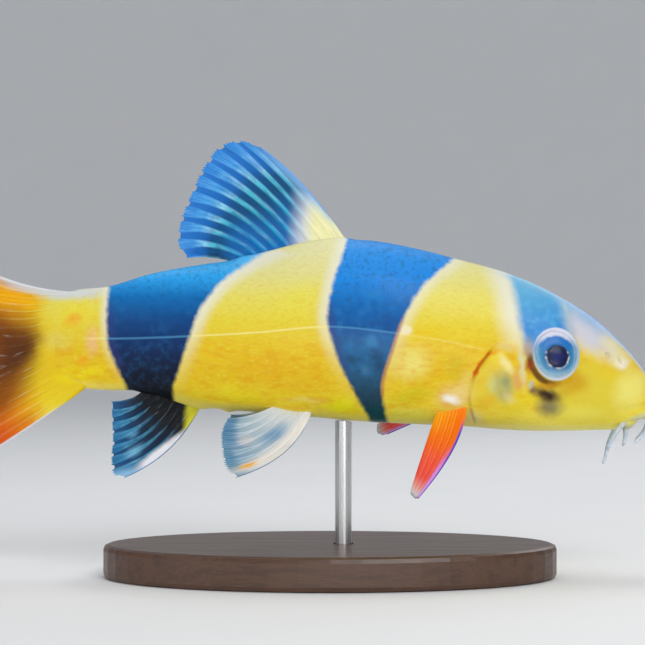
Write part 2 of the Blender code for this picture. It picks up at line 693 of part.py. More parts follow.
def make_fins(fish):
    make_fin("dorsal_fin", FINS["dorsal_fin"], "fin_blue", fish)
    make_fin("anal_fin", FINS["anal_fin"], "fin_dark", fish)
    fork = smooth_line(FORK, LINE_POINTS)
    for name, other_lobe in (("caudal_fin_upper", DOWNWARD), ("caudal_fin_lower", UPWARD)):
        cutter = slab_beyond("other_lobe", fork, other_lobe)
        make_fin(name, FINS["caudal_fin"], "fin_amber", fish, without=[cutter])
    make_fin("pelvic_fin_right", FINS["pelvic_fin"], "fin_pale", fish)
    make_fin("pelvic_fin_left", FINS["pelvic_fin"], "fin_pale", fish, mirrored=True)
    make_fin("pectoral_fin_right", FINS["pectoral_fin_right"], "fin_orange", fish)
    make_fin("pectoral_fin_left", FINS["pectoral_fin_left"], "fin_orange", fish)


def make_barbels(fish):
    for name, line in BARBELS.items():
        radii = np.linspace(BARBEL_ROOT_RADIUS, BARBEL_TIP_RADIUS, BARBEL_POINTS)
        barbel = tube(name, smooth_line(line, BARBEL_POINTS), radii, round_tip=True)
        boolean(barbel, "DIFFERENCE", [body_mesh("grown_body", grow=GAP), *lips(grow=GAP)])
        as_node(keep_largest(barbel), name, "barbel_pale", fish)


def make_stand(fish):
    bpy.ops.mesh.primitive_cylinder_add(vertices=BASE_SIDES, radius=1.0, depth=BASE_HEIGHT * MM)
    base = bpy.context.object
    base.data.transform(Matrix.Diagonal((BASE_LENGTH / 2 * MM, BASE_WIDTH / 2 * MM, 1.0, 1.0)))
    base.data.transform(Matrix.Translation((0, 0, BASE_HEIGHT / 2 * MM)))
    edge = base.modifiers.new("rounded edge", "BEVEL")
    edge.width = BASE_EDGE * MM
    edge.segments = 2
    settle(base)
    opening = Matrix.Translation(Vector((ROD_X, 0, BASE_HEIGHT)) * MM)
    socket = cylinder("rod_socket", ROD_RADIUS + GAP, 2 * ROD_SOCKET_DEPTH, opening, ROD_SIDES)
    boolean(base, "DIFFERENCE", [socket])
    as_node(base, "stand_base", "stand_wood", fish)
    foot = BASE_HEIGHT - ROD_SOCKET_DEPTH + GAP
    middle = Matrix.Translation(Vector((ROD_X, 0, (foot + ROD_END_Z) / 2)) * MM)
    rod = cylinder("stand_rod", ROD_RADIUS, ROD_END_Z - foot, middle, ROD_SIDES)
    boolean(rod, "DIFFERENCE", [body_mesh("grown_body", grow=GAP)])
    as_node(keep_largest(rod), "stand_rod", "stand_steel", fish)


def main():
    clear_scene()
    fish = new_collection("clown_loach")
    make_head(fish)
    make_torso_and_tail(fish)
    make_eyes(fish)
    make_fins(fish)
    make_barbels(fish)
    make_stand(fish)


main()
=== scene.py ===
import math

import bpy
import numpy as np
from mathutils import Matrix, Vector


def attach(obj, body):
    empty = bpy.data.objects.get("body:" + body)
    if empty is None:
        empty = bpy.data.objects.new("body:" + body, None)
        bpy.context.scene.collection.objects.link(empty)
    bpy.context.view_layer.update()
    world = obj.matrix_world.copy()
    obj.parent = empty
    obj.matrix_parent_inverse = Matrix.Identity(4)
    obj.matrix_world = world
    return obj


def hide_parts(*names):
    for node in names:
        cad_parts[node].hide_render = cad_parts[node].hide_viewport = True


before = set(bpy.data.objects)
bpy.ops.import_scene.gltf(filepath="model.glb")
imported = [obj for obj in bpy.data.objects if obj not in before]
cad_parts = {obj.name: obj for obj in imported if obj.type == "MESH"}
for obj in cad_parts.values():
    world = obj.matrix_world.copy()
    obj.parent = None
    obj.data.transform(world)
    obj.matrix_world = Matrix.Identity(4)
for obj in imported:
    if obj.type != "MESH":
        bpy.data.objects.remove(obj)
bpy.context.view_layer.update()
print("frame loaded,", len(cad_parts), "CAD nodes")

mm = 0.001  # lengths below are in millimetres

# The photo shows the fish's right side, with the camera level and square to it.
view = {
    "picture": 645,  # pixels
    "pixel": 0.15,  # millimetres, on the fish's own middle plane
    "originPixel": (330.0, 576.7),  # where the frame's origin lies in the picture
    "lens": 100.0,
    "sensor": 36.0,
}
eyeOfCamera = Vector((
    (view["picture"] / 2 - view["originPixel"][0]) * view["pixel"],
    -view["picture"] * view["pixel"] * view["lens"] / view["sensor"],
    (view["originPixel"][1] - view["picture"] / 2) * view["pixel"],
))


def seenPlace(points):
    # where a point of the near side, or its twin on the far side, shows on the fish's middle plane
    reach = eyeOfCamera.y / (eyeOfCamera.y + np.abs(points[..., 1]))
    x = eyeOfCamera.x + (points[..., 0] - eyeOfCamera.x) * reach
    z = eyeOfCamera.z + (points[..., 2] - eyeOfCamera.z) * reach
    return x, z


# Curves
def ramp(value, start, end):
    share = np.clip((value - start) / (end - start), 0, 1)
    return share * share * (3 - 2 * share)


def bell(value, centre, width):
    return np.exp(-(((value - centre) / width) ** 2))


def hermite(knots, rows, at):
    steps = np.diff(knots)
    slopes = np.diff(rows, axis=0) / steps[:, None]
    before, after = steps[:-1, None], steps[1:, None]
    tangents = (slopes[:-1] * after + slopes[1:] * before) / (before + after)
    low = np.clip(np.searchsorted(knots, at, side="right") - 1, 1, len(knots) - 3)
    width = steps[low][:, None]
    share = ((at - knots[low]) / steps[low])[:, None]
    leave, arrive = tangents[low - 1] * width, tangents[low] * width
    return (
        (2 * share**3 - 3 * share**2 + 1) * rows[low]
        + (share**3 - 2 * share**2 + share) * leave
        + (3 * share**2 - 2 * share**3) * rows[low + 1]
        + (share**3 - share**2) * arrive
    )


def smoothLine(points, count):
    rows = np.asarray(points, float)
    rows = np.vstack([2 * rows[0] - rows[1], rows, 2 * rows[-1] - rows[-2]])
    knots = np.concatenate([[0], np.cumsum(np.linalg.norm(np.diff(rows, axis=0), axis=1))])
    return hermite(knots, rows, np.linspace(knots[1], knots[-2], count))


def edgeAt(line, z):
    # how far forward a line of the side view lies at a height
    dense = smoothLine(line, 200)
    order = np.argsort(dense[:, 1])
    return np.interp(z, dense[order, 1], dense[order, 0])


# Meshes
def meshPiece(name, points, faces, material, **marks):
    mesh = bpy.data.meshes.new(name)
    mesh.from_pydata((np.asarray(points, float) * mm).tolist(), [], [tuple(face) for face in faces])
    for mark, values in marks.items():
        painted = values.shape[-1] == 4  # a painted layer has four columns, a place or measure three
        layer = mesh.attributes.new(mark, "FLOAT_COLOR" if painted else "FLOAT_VECTOR", "POINT")
        numbers = np.ascontiguousarray(values, np.float32).ravel()
        layer.data.foreach_set("color" if painted else "vector", numbers)
    mesh.update()
    mesh.shade_smooth()
    mesh.materials.append(material)
    piece = bpy.data.objects.new(name, mesh)
    bpy.context.scene.collection.objects.link(piece)
    return piece


def gridFaces(rows, columns, closed=False, first=0, flip=False):
    i, j = np.meshgrid(np.arange(rows - 1), np.arange(columns if closed else columns - 1), indexing="ij")
    a, b = i * columns + j, i * columns + (j + 1) % columns
    faces = np.stack([a, b, b + columns, a + columns], axis=-1).reshape(-1, 4) + first
    return (faces[:, ::-1] if flip else faces).tolist()


def capFaces(pole, start, count, flip=False):
    faces = [(pole, start + (j + 1) % count, start + j) for j in range(count)]
    return [face[::-1] for face in faces] if flip else faces


def install(piece, slot, *nodes):
    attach(piece, "root")
    if nodes:
        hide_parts(*nodes)
    return piece


# Materials
def rgb(red, green, blue):
    # a colour as an eye reads it off a screen, 0 to 255, turned into light
    shares = [value / 255 for value in (red, green, blue)]
    return (*[s / 12.92 if s <= 0.04045 else ((s + 0.055) / 1.055) ** 2.4 for s in shares], 1.0)


class Paint:
    # one node-based material, built step by step

    def __init__(self, name, **sockets):
        self.material = bpy.data.materials.new(name)
        self.material.use_nodes = True
        self.tree = self.material.node_tree
        self.shader = self.tree.nodes["Principled BSDF"]
        for socket, value in sockets.items():
            words = "".join(" " + c if c.isupper() else c for c in socket).strip()
            self.shader.inputs[words.replace("I O R", "IOR")].default_value = value

    def add(self, kind, inputs=None, **settings):
        made = self.tree.nodes.new("ShaderNode" + kind)
        for key, value in settings.items():
            setattr(made, key, value)
        for key, value in (inputs or {}).items():
            self.feed(made.inputs[key], value)
        return made

    def feed(self, socket, value):
        if isinstance(value, bpy.types.NodeSocket):
            self.tree.links.new(value, socket)
        else:
            socket.default_value = value

    def mark(self, name):
        return self.add("Attribute", attribute_name=name).outputs["Vector"]

    def split(self, vector):
        made = self.add("SeparateXYZ", {0: vector})
        return made.outputs[0], made.outputs[1], made.outputs[2]

    def math(self, operation, *values, clamp=False):
        return self.add("Math", dict(enumerate(values)), operation=operation, use_clamp=clamp).outputs[0]

    def times(self, *values):
        total = values[0]
        for value in values[1:]:
            total = self.math("MULTIPLY", total, value)
        return total

    def mix(self, share, first, second, blend="MIX"):
        made = self.add("Mix", {0: share, 6: first, 7: second}, data_type="RGBA", blend_type=blend)
        return made.outputs[2]

    def step(self, value, start, end):
        inputs = {0: value, 1: start, 2: end}
        return self.add("MapRange", inputs, interpolation_type="SMOOTHSTEP").outputs[0]

    def ramp(self, value, stops):
        low, high = stops[0][0], stops[-1][0]
        share = self.add("MapRange", {0: value, 1: low, 2: high}).outputs[0]
        made = self.add("ValToRGB", {0: share})
        stripes = made.color_ramp.elements
        while len(stripes) < len(stops):
            stripes.new(0.5)
        for stripe, (place, colour) in zip(stripes, stops):
            stripe.position = (place - low) / (high - low)
            stripe.color = rgb(*colour)
        return made.outputs[0]

    def noise(self, place, scale, detail=3.0, rough=0.5, stretch=None):
        if stretch:
            place = self.add("Mapping", {0: place, 3: stretch}).outputs[0]
        return self.add("TexNoise", {0: place, 2: scale, 3: detail, 4: rough}).outputs[0]

    def warp(self, place, scale, amount):
        # shifts places by a noise
        wave = self.add("TexNoise", {0: place, 2: scale, 3: 3.0}).outputs[1]
        centred = self.add("VectorMath", {0: wave, 1: (0.5, 0.5, 0.5)}, operation="SUBTRACT").outputs[0]
        inputs = {0: centred, 1: (amount, amount, amount), 2: place}
        return self.add("VectorMath", inputs, operation="MULTIPLY_ADD").outputs[0]

    def wash(self, colour, strength, tint, *shares):
        # lays a tint over a colour where all the shares are above 0
        return self.mix(self.times(*shares, strength), colour, rgb(*tint))

    def patch(self, place, centre, radii, tilt=0.0, soft=0.6):
        # 1 inside an ellipse of the side view, running out to 0 at its edge
        inputs = {0: place, 1: (centre[0], 0, centre[1]), 2: (0, -math.radians(tilt), 0),
                  3: (radii[0], 1e4, radii[1])}
        local = self.add("Mapping", inputs, vector_type="TEXTURE").outputs[0]
        length = self.add("VectorMath", {0: local}, operation="LENGTH").outputs["Value"]
        return self.step(length, 1.0, 1.0 - soft)

    def patches(self, colour, place, table):
        for centre, radii, tilt, soft, strength, tint in table:
            colour = self.wash(colour, strength, tint, self.patch(place, centre, radii, tilt, soft))
        return colour

    def over(self, colour, name):
        # lays a layer painted on the mesh over a colour
        layer = self.add("Attribute", attribute_name=name).outputs
        inputs = {0: colour, 1: layer["Alpha"], 2: layer["Color"]}
        return self.add("VectorMath", inputs, operation="MULTIPLY_ADD").outputs[0]

    def bump(self, height, strength, distance, below=None):
        made = self.add("Bump", {"Strength": strength, "Distance": distance * mm, "Height": height})
        if below:
            self.feed(made.inputs["Normal"], below)
        return made.outputs[0]

    def finish(self, colour, roughness=None, normal=None, alpha=None):
        given = {"Base Color": colour, "Roughness": roughness, "Normal": normal, "Alpha": alpha}
        for socket, value in given.items():
            if value is not None:
                self.feed(self.shader.inputs[socket], value)
        return self.material


# The body's outline: distance forward, height of the back, height of the belly, half the width
body = {
    "stations": [
        (-45.6, 35.7, 35.7, 0.0), (-45.2, 38.0, 33.4, 0.02), (-44.0, 39.8, 31.4, 0.05),
        (-42.6, 41.1, 30.1, 0.28), (-40.8, 42.1, 29.0, 0.83), (-38.0, 43.0, 28.4, 1.27),
        (-33.5, 43.5, 28.0, 2.2), (-27.0, 45.4, 27.8, 3.4),
        (-19.5, 46.8, 25.6, 4.7), (-11.0, 48.0, 24.7, 5.8), (-3.0, 49.9, 24.0, 6.5),
        (5.0, 50.5, 23.3, 6.9), (13.0, 49.2, 22.9, 7.1), (20.0, 47.4, 22.6, 7.0),
        (26.0, 45.75, 22.1, 6.7), (30.5, 44.0, 21.9, 6.2), (34.5, 41.95, 21.9, 5.7),
        (39.0, 39.15, 22.0, 5.0), (43.0, 35.75, 22.2, 4.2), (45.0, 33.7, 22.6, 3.7),
        (46.6, 31.75, 23.75, 3.2), (48.4, 29.0, 24.45, 2.45), (49.6, 27.2, 25.0, 1.55),
        (50.1, 26.0, 26.0, 0.0),
    ],
    "backRoundness": 1.85,
    "bellyRoundness": 2.35,
    "waist": 0.5,
    "waistChanges": [((-35.0, -10.0), -0.05), ((15.0, 32.0), -0.05), ((38.0, 48.0), 0.06)],
    "rings": 392,
    "around": 250,
    # extra rings over a stretch of the body: from, to, how many times as close
    "closer": [(18.5, 29.0, 1.9), (29.0, 38.5, 2.2), (38.5, 44.5, 1.6), (42.5, 50.1, 1.3)],
}


def bodySpline():
    x, back, belly, half = np.array(body["stations"]).T
    rows = np.stack([x, (back + belly) / 2, (back - belly) / 2, half], axis=1)
    mirror = np.array([1, 1, -1, -1])
    rows = np.vstack([rows[1] * mirror, rows, rows[-2] * mirror])
    knots = np.concatenate([[0], np.cumsum(np.linalg.norm(np.diff(rows, axis=0), axis=1))])
    return knots, rows


bodyKnots, bodyKnotRows = bodySpline()
bodyPlaces = np.linspace(bodyKnots[1], bodyKnots[-2], 4000)
bodyLine = hermite(bodyKnots, bodyKnotRows, bodyPlaces)


def waistAt(x):
    return body["waist"] + sum(change * ramp(x, *reach) for reach, change in body["waistChanges"])


def ringPlaces():
    x = bodyLine[:, 0]
    weight = np.ones(len(x))
    for start, end, extra in body["closer"]:
        weight += extra * ramp(x, start - 0.8, start + 0.8) * ramp(x, end + 0.8, end - 0.8)
    travel = np.concatenate([[0], np.cumsum(weight[1:] * np.diff(bodyPlaces))])
    even = np.linspace(0, travel[-1], body["rings"] + 2)[1:-1]
    return np.interp(even, travel, bodyPlaces)


def halfSection(row, count):
    _, middle, rise, half = row
    widest = middle + rise * (2 * waistAt(row[0]) - 1)
    angle = np.linspace(0, math.pi, 900)
    side, up = np.abs(np.sin(angle)), np.cos(angle)
    power = np.where(up > 0, 2 / body["backRoundness"], 2 / body["bellyRoundness"])
    reach = np.where(up > 0, middle + rise - widest, widest - middle + rise)
    outline = np.stack([half * side**power, widest + reach * np.sign(up) * np.abs(up) ** power], axis=1)
    outline[0, 0] = outline[-1, 0] = 0.0
    travel = np.concatenate([[0], np.cumsum(np.linalg.norm(np.diff(outline, axis=0), axis=1))])
    even = np.linspace(0, travel[-1], count)
    return np.stack([np.interp(even, travel, outline[:, i]) for i in range(2)], axis=1)


def bodyAt(x):
    # height of the middle, half the depth and half the width
    return [np.interp(x, bodyLine[:, 0], bodyLine[:, i]) for i in (1, 2, 3)]


def sideWidth(x, z):
    middle, rise, half = bodyAt(x)
    widest = middle + rise * (2 * waistAt(x) - 1)
    if z > widest:
        share, power = (z - widest) / (middle + rise - widest), body["backRoundness"]
    else:
        share, power = (widest - z) / (widest - middle + rise), body["bellyRoundness"]
    return half * max(0.0, 1 - share**power) ** (1 / power)


def skinFrame(x, z, sunk=0.0):
    # a matrix on the right side whose Z points out of the skin, X forward and Y up
    step = 0.2
    slopeX = (sideWidth(x + step, z) - sideWidth(x - step, z)) / (2 * step)
    slopeZ = (sideWidth(x, z + step) - sideWidth(x, z - step)) / (2 * step)
    outward = Vector((-slopeX, -1, -slopeZ)).normalized()
    forward = (Vector((1, 0, 0)) - outward * outward.x).normalized()
    centre = Vector((x, -sideWidth(x, z), z)) - outward * sunk
    turn = Matrix((forward, outward.cross(forward), outward)).transposed().to_4x4()
    return Matrix.Translation(centre) @ turn


def localPlace(matrix, points):
    inverse = np.array(matrix.inverted())
    return points @ inverse[:3, :3].T + inverse[:3, 3]


# The eye, also needed for its socket in the skin
eye = {
    "centre": (33.2, 33.5),
    "radii": (3.3, 3.62, 2.45),  # along the head, up, and out from the skin
    "rounder": 0.3,  # how much rounder the pupil is than the eye's outline
    "sunk": 1.3,
    "rimHeight": 0.14,
    "rimWidth": 0.34,
    "socketDepth": 1.6,
    "pupilShift": (0.16, -0.5),  # the pupil looks a little forward and down
    "corneaEdge": 0.87,  # shares of the eye's radius and depth
    "corneaThickness": 0.035,
    "segments": 96,
}


def eyeGap(points):
    # distance in side view from the rim round the eye, below 0 inside it
    local = localPlace(skinFrame(*eye["centre"]), points)
    ring = np.hypot(local[..., 0] / eye["radii"][0], local[..., 1] / eye["radii"][1])
    return (ring - 1) * (eye["radii"][0] + eye["radii"][1]) / 2


# Lines and forms of the skin's surface
relief = {
    "gillOpening": [(27.6, 50.0), (26.0, 42.0), (24.2, 35.0), (21.3, 30.6), (20.3, 27.4), (21.0, 24.4),
                    (23.4, 19.0)],
    "gillCoverLift": 0.38,
    "gillSlitDepth": 0.42,
    "lateralHeight": 0.05,
    "lateralLine": [(-40.5, 35.8), (-33.0, 35.73), (-21.0, 36.1), (-10.5, 36.7), (0.0, 37.52),
                    (9.75, 36.55), (16.5, 35.5), (23.4, 34.0)],
    # swellings and hollows: forward, up, radius along, radius up, tilt, height
    "swellings": [
        (29.6, 30.0, 3.4, 2.8, 0, 0.22), (25.6, 29.6, 3.6, 3.6, 0, 0.16),
        (34.0, 37.4, 4.0, 1.0, -20, 0.16), (39.6, 31.0, 3.0, 1.3, -35, -0.14),
        (41.8, 27.0, 4.0, 1.8, -12, 0.14), (27.4, 31.2, 0.5, 2.6, 12, 0.12),
        (18.4, 26.6, 2.6, 1.5, 25, 0.42), (33.0, 27.2, 3.4, 1.0, 8, -0.1),
        (46.4, 27.6, 2.6, 1.2, -30, 0.1), (20.8, 36.0, 1.6, 4.6, 18, -0.12),
        (44.6, 25.4, 2.6, 0.5, 8, -0.14),
    ],
    "subocularGroove": 0.16,
    "frontNostril": (43.0, 32.4),
    "rearNostril": (41.2, 33.4),
}
mouth = {
    "upperLip": [(43.2, -2.45, 23.75), (45.0, -2.5, 24.1), (46.9, -1.85, 24.4), (48.2, 0.0, 24.7)],
    "lowerLip": [(43.3, -2.2, 23.3), (44.4, -1.7, 22.95), (44.85, 0.0, 22.95)],
    "upperRadius": 0.72,
    "lowerRadius": 0.68,
    "cornerShare": 0.45,
    "slitCentre": (46.3, 0.0, 23.85),
    "slitRadii": (1.9, 2.3, 0.4),
    "slitPitch": -16.0,
    "blend": 0.14,  # how softly lip and cheek run into each other
    "from": 41.8,  # only skin ahead of this and below the next is moved
    "below": 27.0,
    "search": (1.5, -1.3, 0.05),  # highest and lowest place of the skin that is tried, and the step
}


def lineGap(line, x, z):
    # distance ahead of a line of the side view, square to it
    step = 0.1
    place = edgeAt(line, z)
    slope = (edgeAt(line, z + step) - edgeAt(line, z - step)) / (2 * step)
    return (x - place) / np.sqrt(1 + slope**2)


def lateralGap(x, z):
    line = smoothLine(relief["lateralLine"], 200)
    return z - np.interp(x, line[:, 0], line[:, 1])


def gillRelief(x, z):
    gap = lineGap(relief["gillOpening"], x, z)
    height = ramp(z, 35.6, 33.4) * ramp(z, 22.4, 24.6)
    step = (gap > 0) * (1 - np.exp(-np.abs(gap) / 0.16))
    cover = relief["gillCoverLift"] * ramp(x, 31.0, 26.5) * height * step
    openShare = ramp(z, 34.8, 33.6) * (0.12 + 0.88 * ramp(z, 28.6, 31.2)) * ramp(z, 22.8, 24.4)
    slit = relief["gillSlitDepth"] * openShare * bell(gap, -0.12, 0.2)
    return cover - slit


def reachFrom(centre, radii, tilt, forward, up):
    # how far a place of the side view lies from the centre of a tilted ellipse, 1 on its edge
    turn = math.radians(tilt)
    forward, up = forward - centre[0], up - centre[1]
    along = (forward * math.cos(turn) + up * math.sin(turn)) / radii[0]
    across = (up * math.cos(turn) - forward * math.sin(turn)) / radii[1]
    return np.hypot(along, across)


def swellingRelief(x, z):
    total = np.zeros(x.shape)
    for forward, up, along, across, tilt, height in relief["swellings"]:
        total += height * bell(reachFrom((forward, up), (along, across), tilt, x, z), 0.0, 1.0)
    return total


def eyeRelief(points):
    gap = eyeGap(points)
    rim = eye["rimHeight"] * bell(gap, 0.1, eye["rimWidth"])
    socket = eye["socketDepth"] * ramp(gap, -0.02, -0.7)
    local = localPlace(skinFrame(*eye["centre"]), points)
    below = ramp(-local[..., 1], 0.6, 2.4) * ramp(local[..., 0], 3.4, 1.6) * ramp(local[..., 0], -4.6, -2.8)
    groove = relief["subocularGroove"] * bell(gap, 1.05, 0.3) * below
    return rim - socket - groove


def nostrilRelief(points):
    front = localPlace(skinFrame(*relief["frontNostril"]), points)
    reach = np.hypot(front[..., 0], front[..., 1])
    flap = 1 + 0.9 * ramp(-front[..., 0], 0.1, 0.7)  # the rim is higher behind, as a small flap
    total = 0.2 * flap * bell(reach, 0.55, 0.2) - 0.5 * ramp(reach, 0.46, 0.12)
    rear = localPlace(skinFrame(*relief["rearNostril"]), points)
    reach = np.hypot(rear[..., 0] / 0.62, rear[..., 1] / 0.42)
    return total + 0.1 * bell(reach, 1.35, 0.3) - 0.5 * ramp(reach, 1.0, 0.35)


# low collars of skin where the fins leave the body
collars = {
    # where, height, distance from the middle plane, width, where it fades in behind and out in front
    "long": [("back", 0.5, 0.5, 0.8, (-15.4, -12.6), (4.4, 1.6)),
             ("belly", 0.4, 0.4, 0.7, (-30.0, -27.6), (-17.2, -19.4))],
    # height, centre forward and sideways, radii: the pelvic fins and the vent
    "round": [(0.4, (-5.4, 2.7), (2.6, 1.0)), (0.35, (-15.2, 0.0), (0.9, 0.7))],
}


def finFootRelief(points):
    x, y, z = points[..., 0], np.abs(points[..., 1]), points[..., 2]
    middle, rise, _ = bodyAt(x)
    near = {"back": ramp(z, middle, middle + rise * 0.8), "belly": ramp(z, middle, middle - rise * 0.8)}
    total = np.zeros(x.shape)
    for part, height, side, width, behind, ahead in collars["long"]:
        total += height * bell(y, side, width) * near[part] * ramp(x, *behind) * ramp(x, *ahead)
    for height, centre, radii in collars["round"]:
        total += height * bell(reachFrom(centre, radii, 0.0, x, y), 0.0, 1.0) * near["belly"]
    return total


def lipShape(half, radius, count=70):
    line = smoothLine(half + [(x, -y, z) for x, y, z in half[-2::-1]], count)
    swell = np.sin(np.linspace(0, math.pi, count))
    return line, radius * (mouth["cornerShare"] + (1 - mouth["cornerShare"]) * swell)


def lipGap(points):
    # distance from the surface of the nearer lip
    nearest = np.full(points.shape[:-1], 99.0)
    for key, size in (("upperLip", "upperRadius"), ("lowerLip", "lowerRadius")):
        for centre, radius in zip(*lipShape(mouth[key], mouth[size])):
            nearest = np.minimum(nearest, np.linalg.norm(points - centre, axis=-1) - radius)
    return nearest


def slitGap(points):
    pitch = Matrix.Rotation(math.radians(mouth["slitPitch"]), 4, "Y")
    local = localPlace(Matrix.Translation(mouth["slitCentre"]) @ pitch, points) / np.array(mouth["slitRadii"])
    return (np.linalg.norm(local, axis=-1) - 1) * min(mouth["slitRadii"])


def mouthRelief(points, normals, lift):
    # pushes the snout's skin out over the lips and in between them
    near = (points[..., 0] > mouth["from"]) & (points[..., 2] < mouth["below"])
    start, out, base = points[near], normals[near], lift[near]
    highest, lowest, step = mouth["search"]
    soft = mouth["blend"]
    found = np.full(len(start), lowest)
    waiting = np.ones(len(start), bool)
    for rise in np.arange(highest, lowest, -step):
        place = start + out * rise
        flesh = -soft * np.logaddexp(-(rise - base) / soft, -lipGap(place) / soft)
        inside = np.maximum(flesh, -slitGap(place)) < 0
        found[waiting & inside] = rise
        waiting &= ~inside
        if not waiting.any():
            break
    result = lift.copy()
    result[near] = found
    return result


def blurAround(values):
    values = (values + np.roll(values, 1, axis=1) + np.roll(values, -1, axis=1)) / 3
    values[1:-1] = (values[:-2] + values[1:-1] + values[2:]) / 3
    return values


def skinGrid():
    count = body["around"] // 2 + 1
    rings = []
    for row in hermite(bodyKnots, bodyKnotRows, ringPlaces()):
        half = halfSection(row, count)
        right = np.stack([np.full(count, row[0]), -half[:, 0], half[:, 1]], axis=1)
        rings.append(np.vstack([right, right[-2:0:-1] * (1, -1, 1)]))
    rings = np.array(rings)
    along = np.gradient(rings, axis=0)
    around = (np.roll(rings, -1, axis=1) - np.roll(rings, 1, axis=1)) / 2
    normals = np.cross(around, along)
    return rings, normals / np.linalg.norm(normals, axis=2, keepdims=True)


# Edges of the three dark bands, as the photo shows them: rear edge and front edge from back to belly
bands = {
    "head": ([(26.5, 47.0), (27.1, 44.6), (27.8, 42.0), (28.3, 39.0), (28.9, 36.4), (29.6, 33.0),
              (29.8, 20.0)],
             [(33.9, 44.6), (35.2, 41.05), (35.8, 37.8), (36.1, 34.0), (36.0, 20.0)]),
    "middle": ([(2.9, 52.0), (2.55, 50.5), (0.45, 43.9), (-0.38, 38.35), (0.9, 33.4), (3.75, 27.4),
                (6.0, 23.35), (7.4, 20.5)],
               [(19.4, 48.4), (18.0, 47.2), (13.95, 43.6), (11.34, 39.4), (9.36, 34.0), (7.88, 28.45),
                (8.7, 23.35), (9.6, 20.5)]),
    "rear": ([(-32.9, 46.0), (-33.15, 43.75), (-33.51, 38.35), (-33.3, 34.75), (-31.65, 30.7),
              (-30.6, 28.45), (-29.6, 26.0)],
             [(-9.2, 48.6), (-10.8, 47.8), (-16.8, 43.75), (-19.65, 39.85), (-21.15, 35.8), (-22.65, 31.0),
              (-23.55, 28.15), (-22.65, 24.85)]),
}


# Crossed waves that shift painted shapes, so that they get hand-made edges:
# how fast each runs forward, sideways and up, its start and its height
waves = {
    "ahead": [(0.9, 0.0, 0.5, 1.3, 1.0), (-0.4, 0.6, 1.3, 4.1, 1.0), (2.1, 0.0, -1.7, 2.2, 0.7)],
    "up": [(-0.6, 0.0, 0.8, 0.4, 1.0), (1.2, -0.7, 0.5, 3.3, 1.0), (1.6, 0.0, 1.8, 5.0, 0.7)],
    "sizes": [(4.2, 0.16), (1.5, 0.09)],  # pitch and shift of a coarse and a fine set
}


def uneven(place):
    for pitch, amount in waves["sizes"]:
        turns = place * 2 * math.pi / pitch
        ahead, up = (
            sum(height * np.sin(turns @ np.array(speeds) + start) for *speeds, start, height in waves[way])
            for way in ("ahead", "up")
        )
        place = place + np.stack([ahead, np.zeros(ahead.shape), up], axis=-1) * amount / 2
    return place


def lay(layer, share, tint):
    # a layer holds colour, and how much of what lies below it still shows
    layer = layer * (1 - share[..., None])
    layer[..., :3] += share[..., None] * np.array(rgb(*tint)[:3])
    return layer


def layPatches(layer, place, table):
    for centre, radii, tilt, soft, strength, tint in table:
        reach = reachFrom(centre, radii, tilt, place[..., 0], place[..., 2])
        layer = lay(layer, strength * ramp(reach, 1.0, 1.0 - soft), tint)
    return layer


def layCrescent(layer, place, gap):
    # the dark line that runs behind and below the eye
    reach = reachFrom(crescent["centre"], crescent["radii"], crescent["tilt"], place[..., 0], place[..., 2])
    full, faded = crescent["width"]
    line = ramp(np.abs(gap - crescent["fromRim"]), faded, full) * ramp(reach, 1.0, 1.0 - crescent["soft"])
    return lay(layer, crescent["strength"] * line, crescent["colour"])


def paintedLayers(place, gap):
    clear = np.zeros((*place.shape[:-1], 4))
    clear[..., 3] = 1
    place = uneven(place)
    cheek = layCrescent(layPatches(clear, place, cheekPatches), place, gap)
    return {
        "groundLayer": layPatches(clear, place, yellowPatches + tailPatches),
        "headLayer": layPatches(clear, place, headPatches + foreheadPatches),
        "middleLayer": layPatches(clear, place, middlePatches),
        "cheekLayer": layPatches(cheek, place, blotches),
    }


def skinMarks(points):
    x, z = seenPlace(points)
    side = np.abs(points[..., 1])
    middle, rise, _ = bodyAt(points[..., 0])
    rear = [lineGap(rearEdge, x, z) for rearEdge, _ in bands.values()]
    front = [-lineGap(frontEdge, x, z) for _, frontEdge in bands.values()]
    gap = eyeGap(points)
    fromBack = middle + rise - points[..., 2]
    fromBelly = points[..., 2] - middle + rise
    gill = lineGap(relief["gillOpening"], points[..., 0], points[..., 2])
    lips = np.clip(lipGap(points), -1, 9)
    place = np.stack([x, side, z], axis=-1)
    return {
        **paintedLayers(place, gap),
        "place": place,
        "bandRear": np.stack(rear, axis=-1),
        "bandFront": np.stack(front, axis=-1),
        "heights": np.stack([fromBack, fromBelly, gap], axis=-1),
        "lines": np.stack([lateralGap(points[..., 0], points[..., 2]), gill, lips], axis=-1),
    }


def bothSides(half):
    # the left side of each ring is the right one over again
    return np.concatenate([half, half[:, -2:0:-1]], axis=1)


